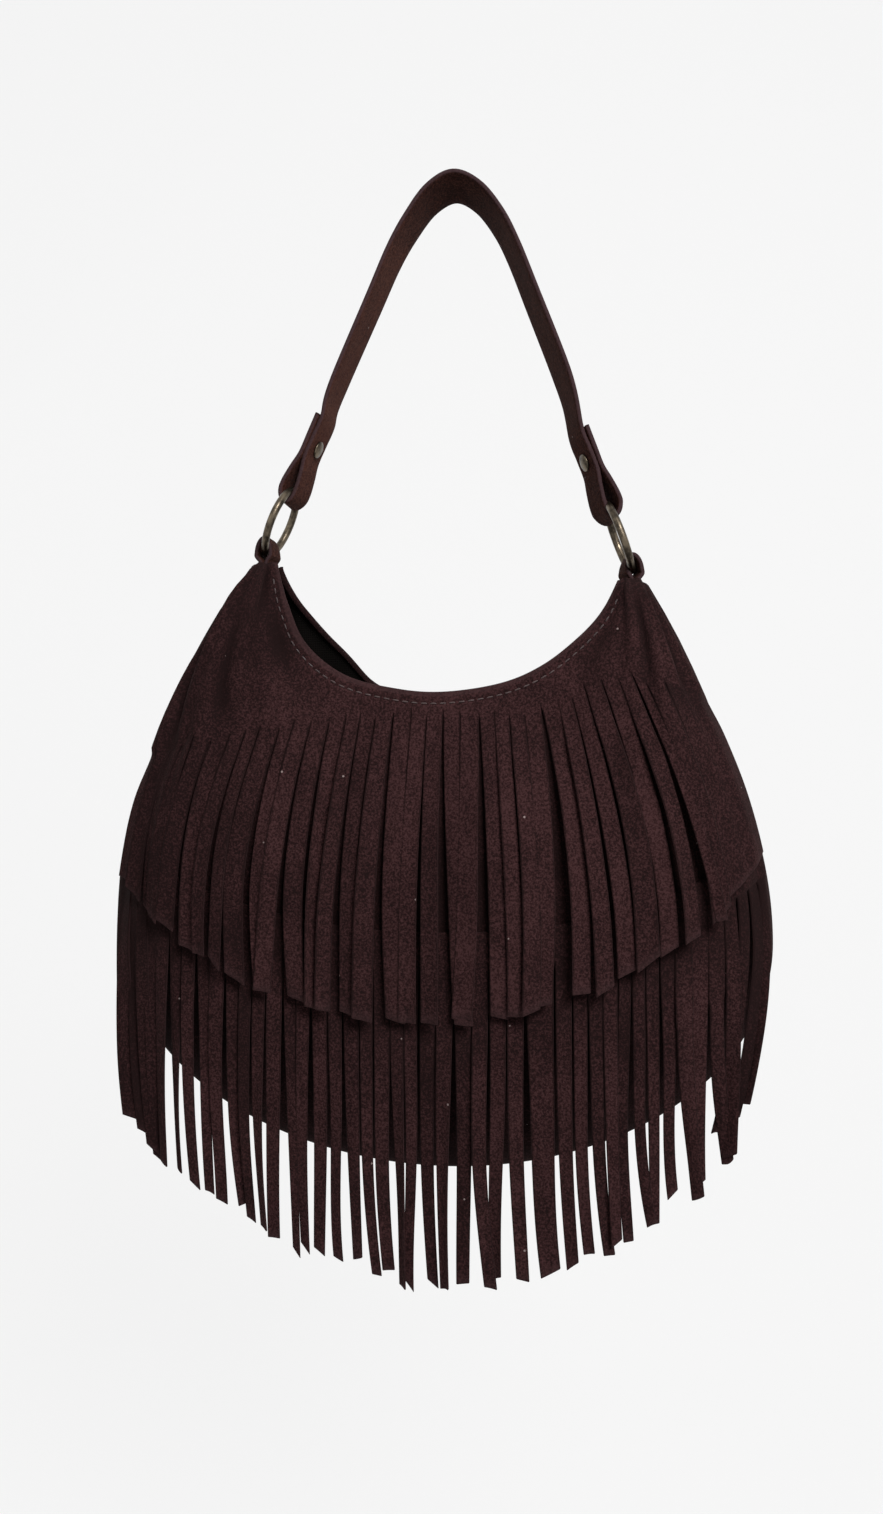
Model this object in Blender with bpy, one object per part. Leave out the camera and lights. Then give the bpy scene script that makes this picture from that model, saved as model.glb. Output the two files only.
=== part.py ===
# Fringed suede shoulder bag, hanging from the top of its strap.
#
# Units are metres, +Z is up, the front with its two rows of fringe faces -Y.
# The origin is the underside of the strap at its highest point, where a hook
# or a hand holds the bag. The bag hangs from the strap by two brass rings.

import math
import bmesh
import bpy
from mathutils import Matrix, Vector

for item in list(bpy.data.objects):
    bpy.data.objects.remove(item, do_unlink=True)

# Leather and lining
PANEL_THICK = 0.0012
LINING_THICK = 0.0006
FRINGE_THICK = 0.0011
GAP = 0.0003
STRAND_STEP = FRINGE_THICK + GAP

# Strap
STRAP_WIDTH = 0.028
STRAP_END_WIDTH = 0.020
STRAP_THICK = 0.0024
STRAP_LEAN = math.radians(12)
LAYER_GAP = 0.0004
LOOP_INNER_RADIUS = 0.0056
FLAP_LENGTH = 0.041
CLOSED_FROM = 0.019
LOOP_SHOULDER_HEIGHT = 0.0108
LOOP_SHOULDER_SPREAD = 0.55
LOOP_CHEEK_HEIGHT = 0.0036
LOOP_CHEEK_SPREAD = 0.97
STRAP_TAPER_Z = -0.125
STRAP_TAPER_RUN = 0.070
STRAP_RUN = ((-0.0639, -0.1060), (-0.0429, -0.0583), (-0.0323, -0.0345), (-0.0231, -0.0186),
             (-0.0125, -0.0050), (0, STRAP_THICK / 2), (0.0125, -0.0050), (0.0231, -0.0186),
             (0.0310, -0.0345), (0.0403, -0.0583), (0.0583, -0.1060))

# Rings
RING_RADIUS = 0.018
RING_WIRE_RADIUS = 0.002
RING_SEAT_GAP = 0.0007
LEFT_RING = Vector((-0.0933, 0, -0.1744))
RIGHT_RING = Vector((0.0859, 0, -0.1860))
LEFT_RING_TILT = math.radians(24)
RIGHT_RING_TILT = math.radians(-20.6)

# Rivets through the two layers of each strap end
RIVET_HEIGHT = 0.0252
RIVET_HEAD_RADIUS = 0.0045
RIVET_HEAD_THICK = 0.0009
RIVET_POST_RADIUS = 0.0014
RIVET_DOME = 0.0009
RIVET_CHAMFER = 0.8
RIVET_RIM = 0.6
DOME_SHOULDER = 0.75
DOME_TOP = 0.35

# Tabs that hold the bag's corners to the rings
TAB_WIDTH = 0.016
TAB_THICK = 0.0022
TAB_LAYER_GAP = 0.0006
TAB_DEPTH = 0.030
TAB_STRAIGHT_SHARE = 0.6
TAB_SPREAD_SHARE = 0.38
TAB_FIRST_SPREAD = 0.0005
TAB_NECK_SPREAD = 0.0043
TAB_CHEEK_SPREAD = 0.965
TAB_CHEEK_SHARE = 0.4
TAB_FOOT_SHARE = 0.8

# Bag body, seen from the front
NECK_DROP = 0.0061
CORNER_OUTER = 0.0080
CORNER_INNER = 0.0060
BODY_CENTRE_X = -0.0055
BODY_HALF_WIDTH = 0.1740
WIDEST_Z = -0.397
BOTTOM_Z = -0.5183
LEFT_FULLNESS = 2.2
RIGHT_FULLNESS = 1.9
SEAM_CROWDING = 1.5
MOUTH_EDGE = ((-0.0885, -0.222), (-0.0785, -0.243), (-0.0580, -0.2595), (-0.0300, -0.2672),
              (-0.0040, -0.2690), (0.0260, -0.2645), (0.0480, -0.2550), (0.0670, -0.2400),
              (0.0790, -0.2260))

# Bag body, seen from the side
MOUTH_HALF_GAP = 0.018
FRONT_BELLY = 0.040
BACK_BELLY = 0.044
NECK_CLEARANCE = 0.0008
SET_BACK = 0.0085
SET_BACK_FALL = 0.130
SEAM_HALF = PANEL_THICK + GAP / 2
NECK_POWER = 3
BELLY_POWER = 4
BELLY_FALL = 0.8
SEAM_BLUNTNESS = 8
EDGE_SHARE = 0.985

# Upper fringe, which covers the top of the front and is slit into strands
UPPER_STRANDS = 34
UPPER_SLIT_Z = -0.280
UPPER_SLIT_DROP = 0.022
UPPER_TIP_Z = -0.430
UPPER_TIP_RISE = 0.066
UPPER_LIFT = 0.0028
OVERLAY_GAP = 0.0008
OVERLAY_ROWS = 8
UPPER_SPAN = 0.96
SHOULDER_COLUMNS = 5
SHOULDER_END = 0.985
UPPER_TIP_POWER = 2.4
UPPER_LIFT_PACE = 1.6
STEP_PACE = 2.5
UPPER_SWAY = 0.0020
UPPER_RIPPLE = 0.0012
UPPER_TRIM = 0.03
UPPER_TAPER = 0.10
UPPER_UNEVEN = 0.05
UPPER_SWAY_PHASE = 1.3
UPPER_RIPPLE_PHASE = 3.1
UPPER_UNEVEN_PHASE = 2.4

# Lower fringe, a narrower band with longer strands under the upper one
LOWER_STRANDS = 46
LOWER_SLIT_Z = -0.404
LOWER_SLIT_RISE = 0.048
LOWER_BAND = 0.016
LOWER_TIP_Z = -0.5625
LOWER_TIP_RISE = 0.086
LOWER_SPAN = 0.975
LOWER_SLIT_POWER = 2.2
LOWER_TIP_POWER = 2.1
LOWER_CURL = 0.0042
LOWER_CURL_CHANGE = 0.0021
LOWER_RIPPLE = 0.0016
LOWER_TRIM = 0.05
LOWER_TAPER = 0.20
LOWER_UNEVEN = 0.10
LOWER_CURL_POWER = 2.5
LOWER_CURL_PHASE = 1.7
LOWER_RIPPLE_PHASE = 2.9
LOWER_UNEVEN_PHASE = 2.1

# How finely curved pieces are divided
OUTLINE_STEPS = 60
PANEL_COLUMNS = 26
PANEL_ROWS = 12
STRAND_ROWS = 7
RING_STEPS = 32
WIRE_STEPS = 10
ROUND_STEPS = 20
HALF_TURN_STEPS = 10
STRAP_STEPS = 4
TAB_STEPS = 2
MOUTH_STEPS = 8
LINE_STEPS = 240
SLIT_SAMPLES = 240
HALVINGS = 26
LINING_SHORT_STEPS = 2
NORMAL_STEP = 0.004


def mix(a, b, t):
    return a + (b - a) * t


def smooth(t):
    t = min(max(t, 0.0), 1.0)
    return t * t * (3 - 2 * t)


# Materials

def suede(name, colour, roughness=0.95):
    material = bpy.data.materials.new(name)
    material.use_nodes = True
    shader = material.node_tree.nodes["Principled BSDF"]
    shader.inputs["Base Color"].default_value = (*colour, 1)
    shader.inputs["Roughness"].default_value = roughness
    return material


def brass(name):
    material = suede(name, (0.28, 0.20, 0.10), 0.35)
    material.node_tree.nodes["Principled BSDF"].inputs["Metallic"].default_value = 1.0
    return material


# Mesh helpers

def add_object(name, verts, faces, material, sharp=40):
    mesh = bpy.data.meshes.new(name)
    mesh.from_pydata([tuple(v) for v in verts], [], faces)
    shape = bmesh.new()
    shape.from_mesh(mesh)
    bmesh.ops.recalc_face_normals(shape, faces=shape.faces)
    shape.to_mesh(mesh)
    shape.free()
    mesh.shade_smooth()
    mesh.set_sharp_from_angle(angle=math.radians(sharp))
    mesh.materials.append(material)
    obj = bpy.data.objects.new(name, mesh)
    bpy.context.scene.collection.objects.link(obj)
    return obj


def slab(name, outer, inner, material):
    """One closed sheet between two grids of points, rows from the top down."""
    rows, columns = len(outer), len(outer[0])
    verts = [p for row in outer for p in row] + [p for row in inner for p in row]
    shift = rows * columns
    faces = []
    for r in range(rows - 1):
        for c in range(columns - 1):
            a = r * columns + c
            for half in ((a, a + columns, a + columns + 1), (a, a + columns + 1, a + 1)):
                faces.append(half)
                faces.append(tuple(i + shift for i in reversed(half)))
    rim = [c for c in range(columns)]
    rim += [r * columns + columns - 1 for r in range(1, rows)]
    rim += [(rows - 1) * columns + c for c in range(columns - 2, -1, -1)]
    rim += [r * columns for r in range(rows - 2, 0, -1)]
    for i, a in enumerate(rim):
        b = rim[(i + 1) % len(rim)]
        faces.append((a, b, b + shift, a + shift))
    return add_object(name, verts, faces, material)


def turned(name, profile, material, place):
    """A solid of revolution about local Z from (radius, height) pairs, closed on its axis."""
    verts, faces = [], []
    rings = [p for p in profile if p[0] > 0]
    for radius, height in rings:
        for i in range(ROUND_STEPS):
            angle = 2 * math.pi * i / ROUND_STEPS
            verts.append((radius * math.cos(angle), radius * math.sin(angle), height))
    for k in range(len(rings) - 1):
        for i in range(ROUND_STEPS):
            j = (i + 1) % ROUND_STEPS
            a, b = k * ROUND_STEPS, (k + 1) * ROUND_STEPS
            faces.append((a + i, a + j, b + j, b + i))
    faces.append(tuple(reversed(range(ROUND_STEPS))))
    top = (len(rings) - 1) * ROUND_STEPS
    faces.append(tuple(top + i for i in range(ROUND_STEPS)))
    obj = add_object(name, verts, faces, material)
    obj.matrix_world = place
    return obj


def curve_through(points, steps):
    """A smooth line through all the points, with some steps between each two."""
    ends = [points[0] * 2 - points[1]] + list(points) + [points[-1] * 2 - points[-2]]
    line = []
    for i in range(1, len(ends) - 2):
        p0, p1, p2, p3 = ends[i - 1:i + 3]
        for s in range(steps):
            t = s / steps
            line.append(0.5 * (2 * p1 + (p2 - p0) * t + (2 * p0 - 5 * p1 + 4 * p2 - p3) * t * t
                               + (3 * p1 - p0 - 3 * p2 + p3) * t ** 3))
    line.append(points[-1].copy())
    return line


def evenly(line, count):
    """The same line as count points at equal distances along it."""
    lengths = [0.0]
    for a, b in zip(line, line[1:]):
        lengths.append(lengths[-1] + (b - a).length)
    points, k = [], 0
    for i in range(count):
        target = lengths[-1] * i / (count - 1)
        while k < len(lengths) - 2 and lengths[k + 1] < target:
            k += 1
        span = lengths[k + 1] - lengths[k]
        points.append(line[k].lerp(line[k + 1], (target - lengths[k]) / span if span else 0))
    return points


def strip(name, line, half_widths, leans, thick, material):
    """A flat strap swept along a line in the XZ plane, its width along Y where it doesn't lean."""
    verts, faces = [], []
    for i, point in enumerate(line):
        along = line[min(i + 1, len(line) - 1)] - line[max(i - 1, 0)]
        along.normalize()
        out = Vector((-along.z, 0, along.x))
        across = Vector((0, 1, 0)) * math.cos(leans[i]) - out * math.sin(leans[i])
        face = out * math.cos(leans[i]) + Vector((0, 1, 0)) * math.sin(leans[i])
        for a, b in ((-1, -1), (1, -1), (1, 1), (-1, 1)):
            verts.append(point + across * half_widths[i] * a + face * thick / 2 * b)
    for i in range(len(line) - 1):
        for k in range(4):
            a, b = i * 4 + k, i * 4 + (k + 1) % 4
            faces.append((a, a + 4, b + 4, b))
    faces.append((0, 1, 2, 3))
    last = (len(line) - 1) * 4
    faces.append((last + 3, last + 2, last + 1, last))
    return add_object(name, verts, faces, material, sharp=50)


# Rings and what they hold

def ring_up(tilt):
    """The direction in the ring's plane that points up to the strap."""
    return Vector((math.sin(tilt), 0, math.cos(tilt)))


def make_ring(name, centre, tilt, material):
    verts, faces = [], []
    up = ring_up(tilt)
    normal = Vector((0, 1, 0)).cross(up)
    for i in range(RING_STEPS):
        angle = 2 * math.pi * i / RING_STEPS
        out = Vector((0, 1, 0)) * math.cos(angle) + up * math.sin(angle)
        for k in range(WIRE_STEPS):
            turn = 2 * math.pi * k / WIRE_STEPS
            verts.append(out * (RING_RADIUS + RING_WIRE_RADIUS * math.cos(turn))
                         + normal * RING_WIRE_RADIUS * math.sin(turn))
    for i in range(RING_STEPS):
        j = (i + 1) % RING_STEPS
        for k in range(WIRE_STEPS):
            m = (k + 1) % WIRE_STEPS
            faces.append((i * WIRE_STEPS + k, i * WIRE_STEPS + m,
                          j * WIRE_STEPS + m, j * WIRE_STEPS + k))
    ring = add_object(name, verts, faces, material)
    ring.location = centre
    return ring


def seat_depth(width):
    """How far inside the wire's centre circle a flat strip of this width can lie in the ring."""
    inside = RING_RADIUS - RING_WIRE_RADIUS
    return RING_RADIUS - (math.sqrt(inside ** 2 - (width / 2) ** 2) - RING_SEAT_GAP)


def strap_loop(side, centre, tilt):
    """Points of one strap end, from the flap's edge, round the ring's wire, to the closed band."""
    up = ring_up(tilt)
    inward = Vector((-side * up.z, 0, side * up.x))
    wire = centre + up * RING_RADIUS
    radius = LOOP_INNER_RADIUS + STRAP_THICK / 2
    layer = (STRAP_THICK + LAYER_GAP) / 2
    middle = wire - up * (seat_depth(STRAP_END_WIDTH) - LOOP_INNER_RADIUS)

    def side_points(sign):
        return [wire + inward * sign * layer + up * FLAP_LENGTH,
                wire + inward * sign * layer + up * (CLOSED_FROM + FLAP_LENGTH) / 2,
                wire + inward * sign * layer + up * CLOSED_FROM,
                wire + inward * sign * mix(layer, radius, LOOP_SHOULDER_SPREAD) + up * LOOP_SHOULDER_HEIGHT,
                wire + inward * sign * radius * LOOP_CHEEK_SPREAD + up * LOOP_CHEEK_HEIGHT]

    turn = []
    for i in range(HALF_TURN_STEPS + 1):
        angle = math.pi * i / HALF_TURN_STEPS
        turn.append(middle - inward * radius * math.cos(angle) - up * radius * math.sin(angle))
    return side_points(-1) + turn + list(reversed(side_points(1)))


def strap_line():
    left = strap_loop(-1, LEFT_RING, LEFT_RING_TILT)
    right = strap_loop(1, RIGHT_RING, RIGHT_RING_TILT)
    run = [Vector((x, 0, z)) for x, z in STRAP_RUN]
    return curve_through(left + run + list(reversed(right)), STRAP_STEPS)


def make_strap(material, cutters):
    line = strap_line()
    half_widths, leans = [], []
    for point in line:
        free = smooth((point.z - STRAP_TAPER_Z) / STRAP_TAPER_RUN)
        half_widths.append(mix(STRAP_END_WIDTH, STRAP_WIDTH, free) / 2)
        leans.append(STRAP_LEAN * free)
    strap = strip("strap", line, half_widths, leans, STRAP_THICK, material)
    for cutter in cutters:
        cut = strap.modifiers.new("rivet_hole", "BOOLEAN")
        cut.operation = "DIFFERENCE"
        cut.solver = "EXACT"
        cut.object = cutter
    return strap


def rivet_frame(side, centre, tilt):
    """A frame at the rivet's middle, its Z pointing to the strap's inner face."""
    up = ring_up(tilt)
    inward = Vector((-side * up.z, 0, side * up.x))
    middle = centre + up * (RING_RADIUS + RIVET_HEIGHT)
    across = up.cross(inward)
    turn = Matrix((across, up * -1, inward)).transposed()
    if turn.determinant() < 0:
        turn = Matrix((across * -1, up * -1, inward)).transposed()
    return Matrix.Translation(middle) @ turn.to_4x4()


def make_rivet(label, side, centre, tilt, material):
    """A post with a flat head on the outer side and a domed cap pressed on it inside."""
    place = rivet_frame(side, centre, tilt)
    face = STRAP_THICK + LAYER_GAP / 2 + GAP
    socket = RIVET_POST_RADIUS + GAP
    end = face + RIVET_HEAD_THICK / 2
    turned(label + "_rivet_post",
           [(RIVET_HEAD_RADIUS * RIVET_CHAMFER, -face - RIVET_HEAD_THICK),
            (RIVET_HEAD_RADIUS, -face - RIVET_HEAD_THICK / 2),
            (RIVET_HEAD_RADIUS, -face), (RIVET_POST_RADIUS, -face), (RIVET_POST_RADIUS, end)],
           material, place)
    roof = end + GAP
    turned(label + "_rivet_cap",
           [(socket, roof), (socket, face), (RIVET_HEAD_RADIUS, face),
            (RIVET_HEAD_RADIUS, face + RIVET_HEAD_THICK * RIVET_RIM),
            (RIVET_HEAD_RADIUS * DOME_SHOULDER, face + RIVET_HEAD_THICK + RIVET_DOME / 2),
            (RIVET_HEAD_RADIUS * DOME_TOP, face + RIVET_HEAD_THICK + RIVET_DOME)],
           material, place)
    cutter = turned(label + "_rivet_hole",
                    [(socket, -face - GAP), (socket, face + GAP)], material, place)
    cutter.hide_render = True
    cutter.display_type = "WIRE"
    return cutter


def make_tab(name, side, centre, tilt, material):
    """A short strip folded over the ring's lower wire, its two legs sewn into the bag's corner."""
    wire = centre - ring_up(tilt) * RING_RADIUS
    radius = LOOP_INNER_RADIUS + TAB_THICK / 2
    layer = (TAB_THICK + TAB_LAYER_GAP) / 2
    lift = seat_depth(TAB_WIDTH) - LOOP_INNER_RADIUS
    inset = (CORNER_OUTER - CORNER_INNER) / 2

    def leg(sign):
        """From the sewn end up to the start of the turn, sign +1 on the bag's inner side."""
        foot = inset * TAB_FOOT_SHARE + sign * layer
        return [(foot, -TAB_DEPTH),
                (foot, -TAB_DEPTH * TAB_STRAIGHT_SHARE),
                (foot + sign * TAB_FIRST_SPREAD, -TAB_DEPTH * TAB_SPREAD_SHARE),
                (inset * TAB_FOOT_SHARE / 2 + sign * TAB_NECK_SPREAD, -NECK_DROP),
                (sign * radius * TAB_CHEEK_SPREAD, -NECK_DROP * TAB_CHEEK_SHARE)]

    turn = []
    for i in range(HALF_TURN_STEPS + 1):
        angle = math.pi * i / HALF_TURN_STEPS
        turn.append((radius * math.cos(angle), lift + radius * math.sin(angle)))
    flat = leg(1) + turn + list(reversed(leg(-1)))
    points = [Vector((wire.x - side * x, 0, wire.z + z)) for x, z in flat]
    line = curve_through(points, TAB_STEPS)
    if side > 0:
        line.reverse()
    count = len(line)
    return strip(name, line, [TAB_WIDTH / 2] * count, [0.0] * count, TAB_THICK, material)


# Outline of the body, seen from the front

def corner(side):
    """Where the mouth's edge and the side seam start, on either side of a tab."""
    centre, tilt = (LEFT_RING, LEFT_RING_TILT) if side < 0 else (RIGHT_RING, RIGHT_RING_TILT)
    wire = centre - ring_up(tilt) * RING_RADIUS
    height = wire.z - NECK_DROP
    return (Vector((wire.x - side * CORNER_INNER, 0, height)),
            Vector((wire.x + side * CORNER_OUTER, 0, height)))


def side_x(side, z):
    """The side seam's place at a height, which no longer narrows below the widest level."""
    start = corner(side)[1]
    widest = BODY_CENTRE_X + side * BODY_HALF_WIDTH
    power = LEFT_FULLNESS if side < 0 else RIGHT_FULLNESS
    fall = min(max((start.z - z) / (start.z - WIDEST_Z), 0.0), 1.0)
    return mix(start.x, widest, 1 - (1 - fall) ** power)


def seam_line():
    points = []
    start = corner(-1)[1].z
    for i in range(OUTLINE_STEPS):
        z = mix(start, WIDEST_Z, (i / OUTLINE_STEPS) ** SEAM_CROWDING)
        points.append(Vector((side_x(-1, z), 0, z)))
    for i in range(2 * OUTLINE_STEPS + 1):
        angle = math.pi * i / (2 * OUTLINE_STEPS)
        points.append(Vector((BODY_CENTRE_X - BODY_HALF_WIDTH * math.cos(angle), 0,
                              WIDEST_Z + (BOTTOM_Z - WIDEST_Z) * math.sin(angle))))
    start = corner(1)[1].z
    for i in range(OUTLINE_STEPS - 1, -1, -1):
        z = mix(start, WIDEST_Z, (i / OUTLINE_STEPS) ** SEAM_CROWDING)
        points.append(Vector((side_x(1, z), 0, z)))
    return evenly(points, LINE_STEPS + 1)


def mouth_line():
    points = [corner(-1)[0]] + [Vector((x, 0, z)) for x, z in MOUTH_EDGE] + [corner(1)[0]]
    return evenly(curve_through(points, MOUTH_STEPS), LINE_STEPS + 1)


SEAM = seam_line()
MOUTH = mouth_line()


def on_line(line, u):
    """A point of a line for u from -1 at its left end to 1 at its right end."""
    place = (min(max(u, -1.0), 1.0) + 1) / 2 * (len(line) - 1)
    k = min(int(place), len(line) - 2)
    return line[k].lerp(line[k + 1], place - k)


def half_depth(u, v, belly):
    """Half the body's thickness, v from 0 at the mouth to 1 at the seam."""
    neck = TAB_WIDTH / 2 + PANEL_THICK + NECK_CLEARANCE
    mouth = mix(MOUTH_HALF_GAP, neck, abs(u) ** NECK_POWER)
    swell = math.sin(math.pi * v) * (1 - abs(u) ** BELLY_POWER) ** BELLY_FALL
    blunt = math.sqrt(max(1 - v ** SEAM_BLUNTNESS, 0.0))
    return SEAM_HALF + (mouth - SEAM_HALF) * blunt + (belly - mouth) * swell


def set_back(z):
    """How far the seam's plane hangs behind the rings, which the fringe's weight in front brings."""
    return SET_BACK * smooth((corner(-1)[0].z - z) / SET_BACK_FALL)


def body_point(u, v, face, belly):
    """A point of the body's outer surface, face -1 for the front and 1 for the back."""
    u = min(max(u, -1.0), 1.0)
    v = min(max(v, 0.0), 1.0)
    flat = on_line(MOUTH, u).lerp(on_line(SEAM, u), v)
    return Vector((flat.x, set_back(flat.z) + face * half_depth(u, v, belly), flat.z))


def body_normal(u, v, face, belly):
    step = NORMAL_STEP
    v = min(v, 1 - step)
    du = body_point(u + step, v, face, belly) - body_point(u - step, v, face, belly)
    dv = body_point(u, v + step, face, belly) - body_point(u, v - step, face, belly)
    normal = du.cross(dv) * face
    normal.normalize()
    return normal


def raised(u, v, face, belly, height):
    """A point at a height above the outer surface, or below it, on its own side of the seam."""
    point = body_point(u, v, face, belly) + body_normal(u, v, face, belly) * height
    seam_y = set_back(point.z)
    return Vector((point.x, seam_y + face * max(face * (point.y - seam_y), GAP / 2), point.z))


def panel_grid(face, belly, height, left_out=0):
    """Rows of points from the mouth down, left_out columns short at the sides and rows at the seam."""
    grid = []
    for r in range(PANEL_ROWS + 1 - left_out):
        v = math.sin(math.pi / 2 * r / PANEL_ROWS)
        row = []
        for c in range(left_out, PANEL_COLUMNS + 1 - left_out):
            u = mix(-1, 1, c / PANEL_COLUMNS)
            row.append(raised(u, v, face, belly, height))
        grid.append(row)
    return grid


def make_panel(name, face, belly, material):
    outer = panel_grid(face, belly, 0.0)
    inner = panel_grid(face, belly, -PANEL_THICK)
    return slab(name, outer, inner, material)


def make_lining(name, face, belly, material):
    near = PANEL_THICK + GAP
    outer = panel_grid(face, belly, -near, LINING_SHORT_STEPS)
    inner = panel_grid(face, belly, -near - LINING_THICK, LINING_SHORT_STEPS)
    return slab(name, outer, inner, material)


# Fringe

def locate(x, z):
    """The u and v of the front's point at this place, with v over 1 outside the seam."""
    low, high = -1.0, 1.0
    for _ in range(HALVINGS):
        u = (low + high) / 2
        top = on_line(MOUTH, u)
        way = on_line(SEAM, u) - top
        if way.x * (z - top.z) - way.z * (x - top.x) > 0:
            low = u
        else:
            high = u
    top = on_line(MOUTH, u)
    way = on_line(SEAM, u) - top
    return u, ((x - top.x) * way.x + (z - top.z) * way.z) / way.length_squared


def spread_x(share, z):
    """The place at this share of the width, from -1 at the left side seam to 1 at the right one."""
    side = -1 if share < 0 else 1
    return BODY_CENTRE_X + abs(share) * (side_x(side, z) - BODY_CENTRE_X)


def drape(share, heights, lift):
    """Points down the front at this share of its width, hanging free past the belly."""
    line = []
    deepest, normal = None, None
    for i, z in enumerate(heights):
        x = spread_x(share, z)
        u, v = locate(x, z)
        point = body_point(u, min(v, EDGE_SHARE), -1, FRONT_BELLY)
        if deepest is not None and (v > EDGE_SHARE or -point.y < deepest):
            point = Vector((x, -deepest, z))
            normal = Vector((normal.x, normal.y, 0)).normalized()
        else:
            deepest = -point.y
            normal = body_normal(u, min(v, EDGE_SHARE), -1, FRONT_BELLY)
            point = Vector((x, point.y, z))
        line.append((point, normal, lift(i / (len(heights) - 1))))
    return line


def slit_shares(slit_z, end, strands):
    """Shares of the width that cut the slit line into strands of equal width along the leather."""
    samples, shares = [], []
    for i in range(SLIT_SAMPLES + 1):
        share = mix(-end, end, i / SLIT_SAMPLES)
        z = slit_z(share)
        x = spread_x(share, z)
        u, v = locate(x, z)
        samples.append(body_point(u, min(v, EDGE_SHARE), -1, FRONT_BELLY))
        shares.append(share)
    lengths = [0.0]
    for a, b in zip(samples, samples[1:]):
        lengths.append(lengths[-1] + (b - a).length)
    cuts, k = [], 0
    for i in range(strands + 1):
        target = lengths[-1] * i / strands
        while k < len(lengths) - 2 and lengths[k + 1] < target:
            k += 1
        cuts.append(mix(shares[k], shares[k + 1], (target - lengths[k]) / (lengths[k + 1] - lengths[k])))
    return cuts


def comb(name, columns, first, cuts, slit_z, tip_z, lift, sway, trim, material):
    """A band of leather cut into strands.

    Each column holds the band's pairs of outer and inner points from its top down. The strands
    hang between the columns from the first one on, one for each pair of neighbouring cuts.
    """
    rows, last = len(columns[0]), len(columns) - 1
    verts = [point for column in columns for pair in column for point in pair]
    faces = []

    def vert(c, r, layer):
        return (c * rows + r) * 2 + layer

    for c in range(last):
        for r in range(rows - 1):
            for layer in (0, 1):
                a, b = vert(c, r, layer), vert(c, r + 1, layer)
                m, n = vert(c + 1, r + 1, layer), vert(c + 1, r, layer)
                faces += [(a, b, m), (a, m, n)] if layer == 0 else [(a, m, b), (a, n, m)]
        faces.append((vert(c, 0, 0), vert(c + 1, 0, 0), vert(c + 1, 0, 1), vert(c, 0, 1)))
        if not first <= c < first + len(cuts) - 1:
            faces.append((vert(c, rows - 1, 1), vert(c + 1, rows - 1, 1),
                          vert(c + 1, rows - 1, 0), vert(c, rows - 1, 0)))
    for r in range(rows - 1):
        faces.append((vert(0, r, 0), vert(0, r, 1), vert(0, r + 1, 1), vert(0, r + 1, 0)))
        faces.append((vert(last, r, 0), vert(last, r + 1, 0), vert(last, r + 1, 1), vert(last, r, 1)))

    for strand in range(len(cuts) - 1):
        c = first + strand
        above = [vert(c, rows - 1, 0), vert(c + 1, rows - 1, 0),
                 vert(c + 1, rows - 1, 1), vert(c, rows - 1, 1)]
        middle = (cuts[strand] + cuts[strand + 1]) / 2
        length = tip_z(middle) - slit_z(middle)
        edges = []
        for share in (cuts[strand], cuts[strand + 1]):
            start = slit_z(share)
            heights = [start + length * r / STRAND_ROWS for r in range(STRAND_ROWS + 1)]
            edges.append(drape(share, heights, lambda t: lift(strand, t))[1:])
        for r in range(STRAND_ROWS):
            t = (r + 1) / STRAND_ROWS
            base = len(verts)
            (left, left_out, raise_by), (right, right_out, _) = edges[0][r], edges[1][r]
            shift = (right - left) * trim(strand, t)
            aside = (right - left).normalized() * sway(strand, t)
            left, right = left + shift + aside, right - shift + aside
            verts += [left + left_out * (raise_by + FRINGE_THICK),
                      right + right_out * (raise_by + FRINGE_THICK),
                      right + right_out * raise_by, left + left_out * raise_by]
            below = [base, base + 1, base + 2, base + 3]
            for k in range(4):
                m = (k + 1) % 4
                faces.append((above[k], below[k], below[m], above[m]))
            above = below
        faces.append(tuple(above))
    return add_object(name, verts, faces, material, sharp=30)


def upper_slit(share):
    return UPPER_SLIT_Z - UPPER_SLIT_DROP * share ** 2


def upper_tip(share):
    return UPPER_TIP_Z + UPPER_TIP_RISE * abs(share) ** UPPER_TIP_POWER


def overlay_column(u, v_end):
    """The overlay's points from the mouth's edge down to v_end, lying on the front panel."""
    column = []
    for r in range(OVERLAY_ROWS + 1):
        v = v_end * r / OVERLAY_ROWS
        column.append((raised(u, v, -1, FRONT_BELLY, OVERLAY_GAP + FRINGE_THICK),
                       raised(u, v, -1, FRONT_BELLY, OVERLAY_GAP)))
    return column


def make_upper_fringe(material):
    cuts = slit_shares(upper_slit, UPPER_SPAN, UPPER_STRANDS)
    places = [locate(spread_x(share, upper_slit(share)), upper_slit(share)) for share in cuts]
    columns = [overlay_column(u, v) for u, v in places]
    shoulders = {}
    for side, (start, v_end) in ((-1, places[0]), (1, places[-1])):
        shoulders[side] = [overlay_column(mix(start, side * SHOULDER_END, i / SHOULDER_COLUMNS), v_end)
                           for i in range(1, SHOULDER_COLUMNS + 1)]
    columns = shoulders[-1][::-1] + columns + shoulders[1]

    def lift(strand, t):
        step = STRAND_STEP * (strand % 2) * smooth(t * STEP_PACE)
        return OVERLAY_GAP + UPPER_LIFT * smooth(t * UPPER_LIFT_PACE) + step

    def sway(strand, t):
        ripple = UPPER_RIPPLE * math.sin(strand * UPPER_RIPPLE_PHASE + 2 * t)
        return t * (UPPER_SWAY * math.sin(strand * UPPER_SWAY_PHASE) + ripple)

    def trim(strand, t):
        uneven = UPPER_UNEVEN * math.sin(strand * UPPER_UNEVEN_PHASE + 1)
        return mix(UPPER_TRIM, UPPER_TAPER, t) + uneven * t

    return comb("upper_fringe", columns, SHOULDER_COLUMNS, cuts, upper_slit, upper_tip,
                lift, sway, trim, material)


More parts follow.
